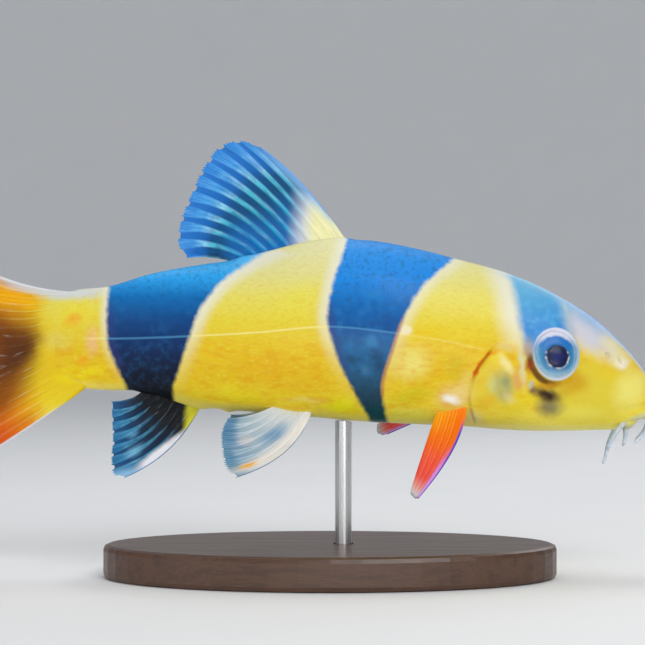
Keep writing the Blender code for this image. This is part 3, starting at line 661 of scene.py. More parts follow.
def buildSkin(material):
    rings, normals = skinGrid()
    count = body["around"] // 2 + 1
    half, out = rings[:, :count], normals[:, :count]
    x, z = half[..., 0], half[..., 2]
    lift = gillRelief(x, z) + finFootRelief(half) + eyeRelief(half) + nostrilRelief(half)
    lift += swellingRelief(x, z) * ramp(np.abs(half[..., 1]), 0.6, 2.2)
    lateral = bell(lateralGap(x, z), 0, 0.16) * ramp(x, 23.8, 22.0) * ramp(x, -38.0, -35.0)
    lift += relief["lateralHeight"] * lateral
    lift = bothSides(mouthRelief(half, out, lift))
    lift = np.where(rings[..., 0] > mouth["from"], blurAround(lift), lift)
    marks = {name: bothSides(values) for name, values in skinMarks(half).items()}
    rings = rings + normals * lift[..., None]
    tail, snout = body["stations"][0], body["stations"][-1]
    points = np.vstack([rings.reshape(-1, 3), (tail[0], 0, tail[1]), (snout[0], 0, snout[1])])
    rows, columns = rings.shape[:2]
    faces = gridFaces(rows, columns, closed=True)
    faces += capFaces(rows * columns, 0, columns)
    faces += capFaces(rows * columns + 1, (rows - 1) * columns, columns, flip=True)
    for name, values in marks.items():
        marks[name] = np.vstack([values.reshape(-1, values.shape[-1]), values[0, 0], values[-1, 0]])
    skin = meshPiece("skin", points, faces, material, **marks)
    return install(skin, "flank_skin", "head", "torso", "tail_stalk")


# Colours of the skin. A list runs from the belly up: height and colour.
skinColours = {
    "flank": [(21.0, (240, 232, 140)), (23.0, (238, 222, 84)), (26.5, (232, 206, 34)), (30.0, (226, 190, 22)),
              (34.5, (228, 195, 30)), (38.5, (228, 208, 60)), (42.0, (226, 214, 96)), (45.5, (222, 216, 140)),
              (50.5, (224, 222, 172))],
    # the three bands: dark towards the belly, with painted reflection that lightens them to azure towards the
    # back
    "head": [(22.5, (190, 170, 60)), (28.0, (150, 150, 120)), (33.0, (84, 146, 192)), (37.0, (52, 138, 208)),
             (41.0, (84, 162, 212)), (45.0, (116, 184, 216))],
    "middle": [(22.5, (20, 84, 78)), (24.4, (20, 72, 78)), (27.0, (28, 62, 80)), (30.5, (34, 86, 122)),
               (34.0, (30, 98, 150)), (37.5, (10, 84, 152)), (41.0, (6, 104, 180)), (44.5, (18, 132, 218)),
               (48.5, (50, 146, 226))],
    "rear": [(24.0, (6, 6, 10)), (28.5, (6, 9, 16)), (31.5, (4, 22, 52)), (35.0, (4, 46, 98)),
             (38.5, (2, 68, 130)), (42.0, (8, 108, 178)), (45.0, (42, 162, 232)), (48.0, (82, 184, 238))],
    "border": [(23.0, (232, 230, 60)), (28.0, (234, 220, 100)), (33.0, (232, 222, 160)),
               (39.0, (230, 226, 200)), (47.0, (228, 226, 206))],
    "eyeRim": [(29.5, (196, 208, 218)), (31.6, (160, 192, 214)), (34.4, (136, 178, 210)),
               (36.2, (222, 222, 234)), (38.0, (236, 230, 240))],
    "grain": (224, 156, 10),
    "paleGrain": (238, 228, 120),
    "clouds": (222, 152, 6),
    # painted light that lifts the belly out of its shade
    "underside": (240, 232, 120),
    "shoulderSpot": (240, 234, 206),
    "specks": (4, 30, 72),
    "violet": (52, 56, 118),
    "rust": (204, 132, 44),
    # painted highlights on the top of the head: the nape and the line along its profile
    "nape": (140, 190, 222),
    "profile": (60, 132, 222),
    "gillSlit": (196, 104, 22),
    "lips": (190, 190, 156),
    "lateralOnYellow": (246, 234, 150),
    "lateralOnBlue": (82, 150, 196),
}
# for each band: how soft its rear and front edges are, how strongly dark specks, light clouds and
# the violet rear edge show, and the clouds' colour
bandLooks = {
    "head": {"soft": (0.9, 1.6), "specks": 0.1, "clouds": 0.35, "violet": 0.0,
             "cloudTint": (110, 190, 232)},
    "middle": {"soft": (0.42, 0.42), "specks": 0.4, "clouds": 0.34, "violet": 0.6,
               "cloudTint": (40, 132, 196)},
    "rear": {"soft": (0.42, 0.42), "specks": 0.3, "clouds": 0.14, "violet": 0.6,
             "cloudTint": (40, 132, 196)},
}
# The patches: centre forward and up, radii, tilt, softness, strength, colour
tailPatches = [
    ((-40.5, 43.5), (10.0, 2.5), -1, 0.5, 0.95, (206, 210, 208)),
    ((-37.8, 39.6), (4.4, 2.8), 0, 0.9, 0.5, (236, 218, 46)),
    ((-38.4, 38.6), (1.6, 1.9), -70, 0.9, 0.8, (236, 166, 40)),
    ((-41.0, 35.4), (3.6, 2.2), 0, 0.9, 0.6, (222, 206, 96)),
    ((-36.9, 32.4), (1.5, 1.0), 10, 0.9, 0.8, (240, 160, 20)),
    ((-35.7, 35.4), (1.5, 3.4), 0, 0.9, 0.75, (238, 184, 140)),
    ((-37.6, 30.4), (6.0, 1.9), 10, 0.8, 0.8, (236, 216, 10)),
]
yellowPatches = [
    ((-9.5, 31.5), (8.0, 3.2), 0, 0.9, 0.5, (226, 172, 14)),
    ((-4.0, 28.4), (7.0, 1.6), -3, 0.9, 0.35, (228, 166, 14)),
    ((2.2, 25.4), (4.4, 2.2), -8, 0.8, 0.8, (234, 230, 20)),
    ((-14.0, 27.6), (5.0, 1.8), -14, 0.9, 0.6, (234, 220, 28)),
    ((-5.0, 41.5), (6.5, 3.4), 30, 0.9, 0.4, (232, 220, 64)),
    ((-3.6, 26.5), (5.0, 0.6), -2, 0.9, 0.6, (240, 216, 120)),
    ((-5.6, 25.4), (3.6, 0.6), -3, 0.9, 0.5, (226, 160, 20)),
    ((15.0, 36.6), (4.2, 1.6), 0, 0.8, 0.7, (232, 200, 22)),
    ((19.8, 36.0), (4.0, 2.4), 0, 0.9, 0.5, (232, 208, 40)),
    ((12.2, 32.0), (4.6, 3.8), 20, 0.9, 0.75, (236, 226, 126)),
    ((12.4, 27.2), (5.0, 1.9), 14, 0.9, 0.7, (208, 192, 18)),
    ((18.9, 31.4), (2.6, 3.2), 20, 0.9, 0.6, (206, 180, 26)),
    ((18.8, 27.2), (4.4, 2.8), 14, 0.9, 0.75, (230, 202, 138)),
    ((20.7, 28.9), (1.6, 3.2), 4, 0.9, 0.5, (232, 204, 120)),
    ((21.2, 23.8), (2.6, 1.9), 0, 0.9, 0.7, (222, 214, 160)),
    ((11.6, 24.2), (5.0, 1.6), 2, 0.8, 0.7, (226, 230, 86)),
]
headPatches = [
    ((38.6, 27.6), (9.5, 6.4), -10, 0.5, 0.8, (218, 200, 60)),
    ((36.4, 29.3), (3.8, 2.8), -16, 0.9, 0.95, (204, 158, 0)),
    ((41.4, 30.4), (3.4, 1.6), -26, 0.9, 0.6, (226, 198, 40)),
    ((45.2, 28.2), (3.6, 5.0), -30, 0.8, 0.85, (234, 224, 118)),
    ((23.8, 28.6), (4.4, 4.6), 0, 0.6, 0.6, (224, 202, 66)),
    ((37.0, 24.6), (6.0, 1.6), 0, 0.9, 0.5, (234, 224, 96)),
    ((39.4, 33.8), (3.4, 1.9), -36, 0.9, 0.7, (232, 214, 112)),
    ((43.0, 33.0), (3.2, 2.2), -46, 0.8, 0.8, (226, 220, 176)),
]
foreheadPatches = [
    ((38.6, 37.2), (7.0, 3.9), -41, 0.7, 0.97, (204, 204, 214)),
    ((38.4, 38.9), (6.0, 1.7), -41, 0.9, 0.75, (146, 180, 216)),
    ((41.9, 34.9), (2.4, 1.5), -42, 0.9, 0.6, (228, 222, 176)),
    ((43.7, 31.9), (1.3, 1.3), -20, 0.9, 0.8, (240, 236, 220)),
    ((34.9, 41.0), (2.8, 2.6), -36, 0.8, 0.8, (148, 192, 224)),
]
middlePatches = [
    ((8.6, 38.6), (2.4, 1.6), 10, 0.9, 0.5, (12, 70, 140)),
    ((6.2, 35.4), (1.6, 1.6), 0, 0.9, 0.6, (60, 134, 182)),
    ((7.2, 32.4), (1.4, 2.8), 12, 0.9, 0.6, (18, 56, 86)),
    ((3.2, 32.6), (1.0, 1.5), 0, 0.9, 0.55, (20, 56, 82)),
    ((5.2, 31.0), (0.9, 1.4), 0, 0.9, 0.6, (64, 122, 156)),
    ((6.4, 42.4), (2.0, 0.9), -10, 0.9, 0.4, (30, 138, 196)),
]
# the cheek and gill cover, laid over the head's band
cheekPatches = [
    ((29.8, 34.2), (1.3, 2.6), 4, 0.9, 0.7, (172, 142, 138)),
    ((25.0, 32.6), (2.4, 1.6), -20, 0.9, 0.55, (238, 220, 60)),
    ((25.8, 28.7), (2.5, 3.3), 4, 0.7, 0.8, (176, 174, 112)),
    ((26.4, 29.3), (1.0, 1.4), 10, 0.9, 0.6, (138, 146, 100)),
    ((24.2, 28.8), (1.2, 2.3), 0, 0.9, 0.6, (208, 208, 126)),
    ((26.3, 31.9), (2.4, 0.95), -58, 0.9, 0.65, (240, 232, 170)),
    ((27.9, 29.6), (0.95, 2.6), 6, 0.9, 0.75, (222, 162, 100)),
    ((28.75, 31.8), (0.85, 4.8), 4, 0.9, 0.65, (214, 220, 190)),
    ((26.9, 27.0), (1.8, 0.9), -30, 0.9, 0.5, (222, 212, 152)),
    ((23.6, 26.4), (2.3, 1.7), 0, 0.9, 0.55, (228, 176, 24)),
    ((27.6, 25.2), (3.2, 1.4), 0, 0.9, 0.5, (220, 196, 34)),
    ((26.2, 34.4), (2.6, 0.9), -10, 0.9, 0.55, (216, 188, 122)),
    ((22.15, 31.3), (1.9, 0.42), 62, 0.7, 0.95, (238, 112, 8)),
    ((21.8, 30.7), (0.9, 0.34), 58, 0.8, 0.8, (228, 74, 8)),
    ((24.3, 33.6), (1.6, 0.45), 10, 0.8, 0.8, (234, 158, 24)),
    ((18.1, 26.7), (1.9, 0.95), -4, 0.9, 1.0, (246, 244, 236)),
]
crescent = {
    "fromRim": 0.8,  # how far its middle runs from the rim of the eye
    "width": (0.2, 0.75),  # how far from its middle it is full, and gone
    "centre": (31.2, 30.4),
    "radii": (4.2, 3.3),
    "tilt": -40.0,
    "soft": 0.4,
    "strength": 0.92,
    "colour": (88, 44, 8),
}
# marks under the eye, laid over the crescent
blotches = [
    ((29.85, 31.6), (0.9, 1.7), 14, 0.9, 0.8, (150, 46, 26)),
    ((33.8, 28.9), (1.9, 1.0), 10, 0.9, 0.65, (178, 122, 6)),
    ((34.9, 27.6), (1.6, 2.4), 0, 0.9, 0.5, (196, 160, 16)),
    ((32.9, 25.5), (3.0, 2.5), 0, 0.9, 0.85, (116, 108, 84)),
    ((30.1, 28.9), (0.8, 0.8), 0, 0.9, 0.8, (172, 186, 184)),
    ((32.4, 28.6), (2.9, 0.6), -10, 0.8, 0.7, (206, 148, 6)),
    ((32.2, 27.4), (3.2, 1.5), -15, 0.9, 0.92, (84, 50, 32)),
    ((32.8, 27.1), (1.9, 1.15), -12, 0.9, 0.9, (38, 16, 14)),
    ((30.4, 28.1), (1.0, 0.75), -30, 0.9, 0.8, (112, 74, 88)),
]


def readSkin(paint):
    # what the skin's mesh stores for each place
    at = {"place": paint.mark("place")}
    at["x"], _, at["z"] = paint.split(at["place"])
    _, _, at["looseZ"] = paint.split(paint.warp(at["place"], 0.55, 0.55))
    at["rears"], at["fronts"] = (paint.split(paint.mark(name)) for name in ("bandRear", "bandFront"))
    at["fromBack"], at["fromBelly"], at["fromRim"] = paint.split(paint.mark("heights"))
    at["lateral"], at["gill"], at["lips"] = paint.split(paint.mark("lines"))
    return at


def paintGround(paint, at):
    # yellow, with a long fine grain, darker clouds low on the flank, and painted light that lifts the
    # underside out of its shade
    place, z = at["place"], at["z"]
    grain = paint.noise(place, 2.2, 4.0, 0.6, stretch=(0.55, 1.0, 1.3))
    clouds = paint.noise(place, 0.7, 3.0, 0.5, stretch=(0.6, 1.0, 1.5))
    colour = paint.over(paint.ramp(at["looseZ"], skinColours["flank"]), "groundLayer")
    colour = paint.wash(colour, 0.28, skinColours["grain"], paint.step(grain, 0.48, 0.75))
    colour = paint.wash(colour, 0.25, skinColours["paleGrain"], paint.step(grain, 0.5, 0.25))
    colour = paint.wash(colour, 0.4, skinColours["clouds"], paint.step(clouds, 0.45, 0.7),
                        paint.step(z, 38.0, 33.0), paint.step(z, 23.0, 26.0))
    # painted light: the belly is lightened where it turns away from the lamps
    colour = paint.wash(colour, 0.6, skinColours["underside"], paint.step(at["fromBelly"], 1.6, 0.1))
    return paint.over(colour, "headLayer")


def paintBorders(paint, at, colour):
    # pale borders beside the bands, whiter towards the back
    z, rears, fronts = at["z"], at["rears"], at["fronts"]
    high = paint.math("MULTIPLY_ADD", paint.step(z, 27.0, 40.0), 0.65, 0.2)
    pale = paint.ramp(z, skinColours["border"])
    aboveCheek = paint.times(paint.step(z, 33.0, 35.8), 1.25)
    borders = [  # this edge, the band's other edge, width, strength
        (rears[0], fronts[0], 4.6, aboveCheek), (rears[1], fronts[1], 2.3, 1.0),
        (fronts[1], rears[1], 2.4, 0.7), (rears[2], fronts[2], 1.5, 0.9), (fronts[2], rears[2], 2.6, 1.1),
    ]
    for edge, other, width, strength in borders:
        outside, near = paint.step(edge, -width, -0.1 * width), paint.step(other, -0.6, 0.4)
        share = paint.math("MINIMUM", paint.times(outside, near, high, strength), 0.95)
        colour = paint.mix(share, colour, pale)
    spot = paint.patch(paint.warp(at["place"], 1.6, 0.35), (11.4, 37.0), (1.3, 1.0))
    return paint.wash(colour, 0.7, skinColours["shoulderSpot"], spot)


def paintBands(paint, at, colour):
    # gives back the colour with the bands on it, and how far each place lies on a band
    place, z = at["place"], at["z"]
    wobble = paint.math("MULTIPLY_ADD", paint.noise(place, 0.9, 4.0), 0.7, -0.35)
    specks = paint.step(paint.noise(place, 1.7, 3.0, 0.55), 0.46, 0.74)
    clouds = paint.times(paint.step(paint.noise(place, 0.85, 3.0, 0.6), 0.44, 0.7), paint.step(z, 25.0, 33.0))
    flank = paint.times(paint.step(z, 42.5, 38.0), paint.step(z, 29.0, 33.0))
    onBand = None
    for (name, looks), rear, front in zip(bandLooks.items(), at["rears"], at["fronts"]):
        # the band's own dark colour, lightened to azure towards the back by painted reflection
        tint = paint.ramp(at["looseZ"], skinColours[name])
        tint = paint.wash(tint, looks["specks"], skinColours["specks"], specks)
        tint = paint.wash(tint, looks["clouds"], looks["cloudTint"], clouds)
        if name == "middle":
            tint = paint.over(tint, "middleLayer")
        tint = paint.wash(tint, looks["violet"], skinColours["violet"], paint.step(rear, 1.9, 0.0), flank)
        inside = paint.times(*[
            paint.step(paint.math("ADD", edge, wobble), -soft, soft)
            for edge, soft in zip((rear, front), looks["soft"])
        ])
        if name == "head":  # this band ends above the cheek
            inside = paint.times(inside, paint.step(z, 31.5, 35.8))
        colour = paint.mix(inside, colour, tint)
        onBand = inside if onBand is None else paint.math("MAXIMUM", onBand, inside)
    frontEdge = paint.step(paint.math("ABSOLUTE", at["fronts"][1]), 0.5, 0.1)
    colour = paint.wash(colour, 0.5, skinColours["rust"], frontEdge, paint.step(z, 26.0, 28.0),
                        paint.step(z, 40.0, 37.0))
    return colour, onBand


def paintTopHighlights(paint, at, colour):
    # painted highlights on the top of the head: the light nape and the blue line along its profile
    colour = paint.wash(colour, 0.5, skinColours["nape"], paint.step(at["fromBack"], 1.6, 0.4),
                        paint.step(at["x"], 22.0, 30.0))
    return paint.wash(colour, 0.85, skinColours["profile"], paint.step(at["fromBack"], 0.75, 0.1),
                      paint.step(at["x"], 32.0, 40.0), paint.step(at["z"], 25.5, 29.0))


def paintLines(paint, at, colour, onBand):
    # the rim of the eye, the lateral line, the gill slit and the lips
    x, z = at["x"], at["z"]
    rim = paint.times(paint.step(at["fromRim"], 0.42, 0.1), paint.step(at["fromRim"], -0.9, -0.6), 0.9)
    colour = paint.mix(rim, colour, paint.ramp(z, skinColours["eyeRim"]))
    faint = paint.math("MULTIPLY_ADD", paint.step(x, 12.0, 9.5), 0.4, 0.2)
    line = paint.times(paint.step(paint.math("ABSOLUTE", at["lateral"]), 0.26, 0.02), faint,
                       paint.step(x, 24.0, 22.0), paint.step(x, -38.0, -35.0))
    onYellow, onBlue = (rgb(*skinColours[name]) for name in ("lateralOnYellow", "lateralOnBlue"))
    colour = paint.mix(line, colour, paint.mix(onBand, onYellow, onBlue))
    slit = paint.step(paint.math("ABSOLUTE", paint.math("ADD", at["gill"], 0.12)), 0.3, 0.08)
    deep = paint.math("MULTIPLY_ADD", paint.step(z, 28.8, 31.0), 0.8, 0.08)
    colour = paint.wash(colour, deep, skinColours["gillSlit"], slit, paint.step(z, 34.4, 33.4),
                        paint.step(z, 23.0, 24.6))
    return paint.wash(colour, 0.8, skinColours["lips"], paint.step(at["lips"], 0.25, -0.25))


def skinMaterial():
    paint = Paint("wetSkin", CoatWeight=0.16, CoatRoughness=0.16, CoatIOR=1.36, IOR=1.4, SpecularIORLevel=0.2,
                  SubsurfaceWeight=0.14, SubsurfaceRadius=(1.0, 0.55, 0.25), SubsurfaceScale=0.6 * mm)
    at = readSkin(paint)
    colour = paintBorders(paint, at, paintGround(paint, at))
    colour, onBand = paintBands(paint, at, colour)
    colour = paint.over(paintTopHighlights(paint, at, colour), "cheekLayer")
    colour = paintLines(paint, at, colour, onBand)
    # fine scales, pores and wet gloss
    place = at["place"]
    scales = paint.add("TexVoronoi", {"Vector": place, "Scale": 2.3}, feature="F1").outputs["Distance"]
    normal = paint.bump(paint.noise(place, 5.0, 4.0, 0.6), 0.16, 0.05, paint.bump(scales, 0.16, 0.05))
    roughness = paint.math("MULTIPLY_ADD", paint.noise(place, 1.1, 3.0), 0.2, 0.32)
    return paint.finish(colour, roughness, normal)


buildSkin(skinMaterial())
print("skin built")


# The eyeball, seen from its back pole to the lens: share of the radius, share of the depth
eyeProfile = [
    (0.0, -1.0), (0.35, -0.937), (0.64, -0.768), (0.87, -0.493), (0.98, -0.2), (1.0, 0.0), (0.99, 0.14),
    (0.965, 0.26), (0.93, 0.36), (0.89, 0.44), (0.84, 0.505), (0.78, 0.55), (0.70, 0.588), (0.62, 0.614),
    (0.55, 0.63), (0.50, 0.634), (0.475, 0.625), (0.455, 0.62), (0.42, 0.635), (0.34, 0.66), (0.24, 0.68),
    (0.12, 0.69), (0.0, 0.695),
]
eyeColours = {
    # share of the radius and colour
    "iris": [(0.0, (4, 30, 108)), (0.22, (2, 22, 88)), (0.38, (3, 16, 62)), (0.46, (6, 24, 66)),
             (0.5, (30, 104, 160)), (0.6, (34, 124, 182)), (0.72, (58, 142, 190)), (0.8, (92, 162, 200)),
             (0.87, (150, 192, 218)), (0.92, (206, 216, 228)), (1.0, (210, 220, 230))],
    "fibres": (150, 196, 220),
    "upper": (0, 118, 204),
    "top": (232, 230, 240),
    "lower": (176, 204, 218),
    "pupilRing": (216, 206, 190),
}


def eyeMaterial():
    paint = Paint("eyeball", CoatWeight=0.12, CoatRoughness=0.06, Roughness=0.34, SpecularIORLevel=0.3)
    share, turn, up = paint.split(paint.mark("iris"))
    place = paint.mark("place")
    loose = paint.math("ADD", share, paint.math("MULTIPLY_ADD", paint.noise(place, 1.3, 3.0), 0.1, -0.05))
    fibres = paint.add("CombineXYZ", {0: turn, 1: paint.math("MULTIPLY", share, 1.2), 2: 0.0}).outputs[0]
    streaks = paint.noise(fibres, 9.0, 4.0, 0.6)
    onIris = paint.times(paint.step(loose, 0.5, 0.56), paint.step(loose, 0.92, 0.84))
    colour = paint.ramp(loose, eyeColours["iris"])
    colour = paint.wash(colour, 0.4, eyeColours["fibres"], onIris, paint.step(streaks, 0.48, 0.72))
    colour = paint.wash(colour, 0.9, eyeColours["upper"], onIris, paint.step(up, 0.1, 0.5))
    colour = paint.wash(colour, 0.9, eyeColours["top"], paint.step(loose, 0.76, 0.86),
                        paint.step(up, 0.35, 0.8))
    colour = paint.wash(colour, 0.5, eyeColours["lower"], onIris, paint.step(up, -0.45, -0.8))
    # a pale gold ring round the pupil, broken and missing above it
    broken = paint.step(paint.noise(place, 1.2, 2.0), 0.42, 0.62)
    ring = paint.times(paint.step(loose, 0.45, 0.5), paint.step(loose, 0.62, 0.52))
    colour = paint.wash(colour, 0.85, eyeColours["pupilRing"], ring, broken, paint.step(up, 0.36, 0.1))
    return paint.finish(colour, normal=paint.bump(streaks, 0.1, 0.05))


def corneaMaterial():
    # clear, so that little more than its gloss shows
    return Paint("cornea", BaseColor=rgb(4, 16, 40), Roughness=0.03, IOR=1.38, Alpha=0.05).material


def lathe(name, profile, matrix, material, flipped):
    # turns (radius share, depth share) pairs round the eye's axis; both ends are poles
    profile = np.asarray(profile, float)
    radii, segments = eye["radii"], eye["segments"]
    turns = np.linspace(0, 2 * math.pi, segments, endpoint=False)
    inner = profile[1:-1]
    rounding = eye["rounder"] * (1 - inner[:, :1])
    rings = np.stack([
        inner[:, :1] * np.cos(turns) * (radii[0] + rounding / 2),
        inner[:, :1] * np.sin(turns) * (radii[1] - rounding),
        np.broadcast_to(inner[:, 1:] * radii[2], (len(inner), segments)),
    ], axis=-1)
    share = np.broadcast_to(inner[:, :1], (len(inner), segments))
    iris = np.stack([share, np.broadcast_to(turns, share.shape), share * np.sin(turns)], axis=-1)
    poles = [(0, 0, profile[0, 1] * radii[2]), (0, 0, profile[-1, 1] * radii[2])]
    local = np.vstack([rings.reshape(-1, 3), poles])
    looking = np.append(eye["pupilShift"], 0.0) * np.append(1 - share.ravel() ** 2, (1, 1))[:, None]
    turn = np.array(matrix)
    points = (local + looking) @ turn[:3, :3].T + turn[:3, 3]
    count = len(inner) * segments
    faces = gridFaces(len(inner), segments, closed=True)
    faces += capFaces(count, 0, segments) + capFaces(count + 1, count - segments, segments, flip=True)
    if flipped:
        points = points * (1, -1, 1)
        faces = [face[::-1] for face in faces]
    marks = {"iris": np.vstack([iris.reshape(-1, 3), (0, 0, 0), (0, 0, 0)]), "place": local}
    return meshPiece(name, points, faces, material, **marks)


def corneaProfile():
    thin = eye["corneaThickness"]
    front = [(share, math.sqrt(1 - share**2)) for share in np.linspace(eye["corneaEdge"], 0, 16)]
    back = [(share * (1 - thin), depth - thin) for share, depth in front[::-1]]
    return back + front


def buildEyes():
    iris, clear = eyeMaterial(), corneaMaterial()
    matrix = skinFrame(*eye["centre"], eye["sunk"])
    ballProfile = smoothLine(eyeProfile, 3 * len(eyeProfile))
    for word, flipped in (("Right", False), ("Left", True)):
        ball = lathe("eyeball" + word, ballProfile, matrix, iris, flipped)
        install(ball, "eye", "eye_" + word.lower())
        install(lathe("cornea" + word, corneaProfile(), matrix, clear, flipped), "eye")


buildEyes()
print("eyes built")


# Each fin is three lines across its rays, from the leading ray to the last one: where the rays
# root inside the body, where they are half way, and where they end.
fins = {
    "dorsal": {
        "rays": 11,
        "root": [(3.0, 0, 49.6), (-2.6, 0, 48.6), (-8.0, 0, 47.4), (-13.0, 0, 46.6)],
        "middle": [(-3.9, 0.1, 58.7), (-8.2, 0.25, 58.1), (-12.2, 0.3, 55.3), (-15.2, 0.3, 51.9),
                   (-16.8, 0.2, 49.5), (-17.2, 0.1, 47.8)],
        "tip": [(-10.6, 0.4, 64.6), (-13.8, 0.6, 65.5), (-16.6, 0.8, 64.6), (-18.8, 0.9, 61.9),
                (-21.0, 0.9, 57.2), (-22.6, 0.8, 52.8), (-22.7, 0.5, 49.6), (-21.5, 0.3, 47.8)],
    },
    "anal": {
        "rays": 8,
        "root": [(-18.9, 0, 26.7), (-21.6, 0, 27.3), (-24.4, 0, 27.8), (-27.6, 0, 28.5)],
        "middle": [(-23.7, 0, 19.5), (-26.1, 0, 20.9), (-27.6, 0, 23.2), (-29.6, 0, 26.9)],
        "tip": [(-30.9, -0.3, 14.8), (-32.3, -0.3, 15.2), (-32.8, -0.4, 17.6), (-32.6, -0.4, 20.5),
                (-32.7, -0.3, 23.5), (-32.8, -0.2, 26.3)],
    },
    "caudal": {
        "rays": 20,
        "root": [(-34.6, 0, 42.9), (-38.6, 0, 40.8), (-40.2, 0, 38.2), (-40.7, 0, 35.7), (-40.2, 0, 33.1),
                 (-38.6, 0, 30.6), (-35.6, 0, 29.0)],
        "middle": [(-49.5, 0.2, 45.1), (-51.2, 0.4, 42.9), (-49.3, 0.3, 39.2), (-47.0, 0.1, 34.4),
                   (-49.3, 0.3, 28.9), (-51.2, 0.4, 22.6), (-49.5, 0.2, 19.4)],
        "tip": [(-65.1, 1.6, 54.6), (-66.0, 1.7, 52.9), (-64.0, 1.5, 47.9), (-59.7, 1.1, 41.8),
                (-55.7, 0.8, 36.6), (-53.6, 0.5, 32.4), (-56.0, 0.7, 27.6), (-60.1, 1.0, 21.8),
                (-64.3, 1.3, 15.6), (-66.3, 1.4, 11.3), (-65.1, 1.3, 9.9)],
    },
    "pelvic": {
        "rays": 8,
        "root": [(-2.4, -2.7, 25.9), (-4.2, -2.7, 26.0), (-5.9, -2.7, 26.1), (-7.5, -2.7, 26.2)],
        "middle": [(-6.3, -4.3, 19.3), (-9.1, -4.5, 20.4), (-11.3, -4.5, 22.6), (-11.6, -4.3, 24.5)],
        "tip": [(-14.0, -5.9, 15.3), (-15.2, -5.8, 16.5), (-16.0, -5.5, 19.6), (-16.0, -5.2, 22.2),
                (-15.2, -5.0, 24.1)],
    },
    "pectoralRight": {
        "rays": 10,
        "root": [(20.2, -4.4, 26.7), (18.2, -4.4, 26.5), (16.2, -4.4, 26.3)],
        "middle": [(18.2, -8.7, 20.3), (16.2, -7.4, 20.1), (14.1, -5.8, 20.6)],
        "tip": [(12.7, -10.6, 12.8), (12.1, -10.1, 12.8), (11.5, -9.5, 13.5)],
    },
    "pectoralLeft": {
        "rays": 10,
        "root": [(20.2, 4.4, 26.4), (18.6, 4.4, 26.2), (17.0, 4.4, 26.1)],
        "middle": [(14.6, 10.6, 23.2), (12.9, 9.2, 23.8), (12.3, 7.4, 24.5)],
        "tip": [(8.9, 14.0, 20.4), (7.6, 13.1, 20.7), (7.4, 11.4, 22.4)],
    },
}
finForm = {
    "columnsPerRay": 18,
    "rows": 110,
    "thickness": 0.34,
    "edgeThickness": 0.14,
    "firstFork": 0.3,  # share of its length at which a ray forks
    "secondFork": 0.6,
    "notch": 0.028,  # how far the membrane's edge lies behind the rays' tips
    "ripple": 0.07,
    "segments": 26,  # joints along a ray
    "segmentDepth": 0.16,
    "taper": 0.62,  # how much thinner a ray is at its tip, as a share
    "wander": 0.06,  # how far a ray strays from its even place, in rays
}
# for each fin: thickness at its fleshy root, where the flesh ends, the rays' height and width,
# and how far their branches spread
finRays = {
    "dorsal": (1.5, 0.20, 0.20, 0.22, 0.17),
    "anal": (1.2, 0.22, 0.18, 0.20, 0.18),
    "caudal": (1.5, 0.30, 0.16, 0.14, 0.24),
    "pelvic": (1.0, 0.16, 0.12, 0.15, 0.22),
    "pectoral": (1.3, 0.16, 0.06, 0.16, 0.20),
}


def rayPattern(across, along, rays, width, spread, draw):
    # how close a place is to the nearest ray or branch, 1 on it and 0 between
    pitch = 1 / (rays - 1)
    close = np.zeros(along.shape)
    first = spread * ramp(along, finForm["firstFork"], 1.0)
    second = spread / 2 * ramp(along, finForm["secondFork"], 1.0)
    width = width * (1 - finForm["taper"] * ramp(along, 0.2, 1.0))
    for ray in range(rays):
        forks = (-1, 1) if 0 < ray < rays - 1 else (0,)
        shift = draw.uniform(-finForm["wander"], finForm["wander"]) if len(forks) > 1 else 0.0
        for one in forks:
            for two in forks:
                centre = ray + shift * along + one * first + two * second
                close = np.maximum(close, bell(across / pitch, centre, width))
    return close


def finSheet(plan, width, spread, seed):
    draw = np.random.default_rng(seed)
    columns = plan["rays"] * finForm["columnsPerRay"]
    across, along = np.meshgrid(np.linspace(0, 1, columns), np.linspace(0, 1, finForm["rows"]))
    rays = rayPattern(across, along, plan["rays"], width, spread, draw)
    start, halfWay, end = (smoothLine(plan[key], columns)[None] for key in ("root", "middle", "tip"))
    bend = 2 * halfWay - (start + end) / 2
    share = (along * (1 - finForm["notch"] * (1 - rays[-1])[None]))[..., None]
    sheet = (1 - share) ** 2 * start + 2 * share * (1 - share) * bend + share**2 * end
    normal = np.cross(np.gradient(sheet, axis=0), np.gradient(sheet, axis=1))
    normal /= np.linalg.norm(normal, axis=2, keepdims=True)
    turns = across * (plan["rays"] - 1) / 2 + draw.uniform()
    wave = finForm["ripple"] * along * np.sin(2 * math.pi * turns)
    return across, along, rays, sheet + normal * wave[..., None], normal


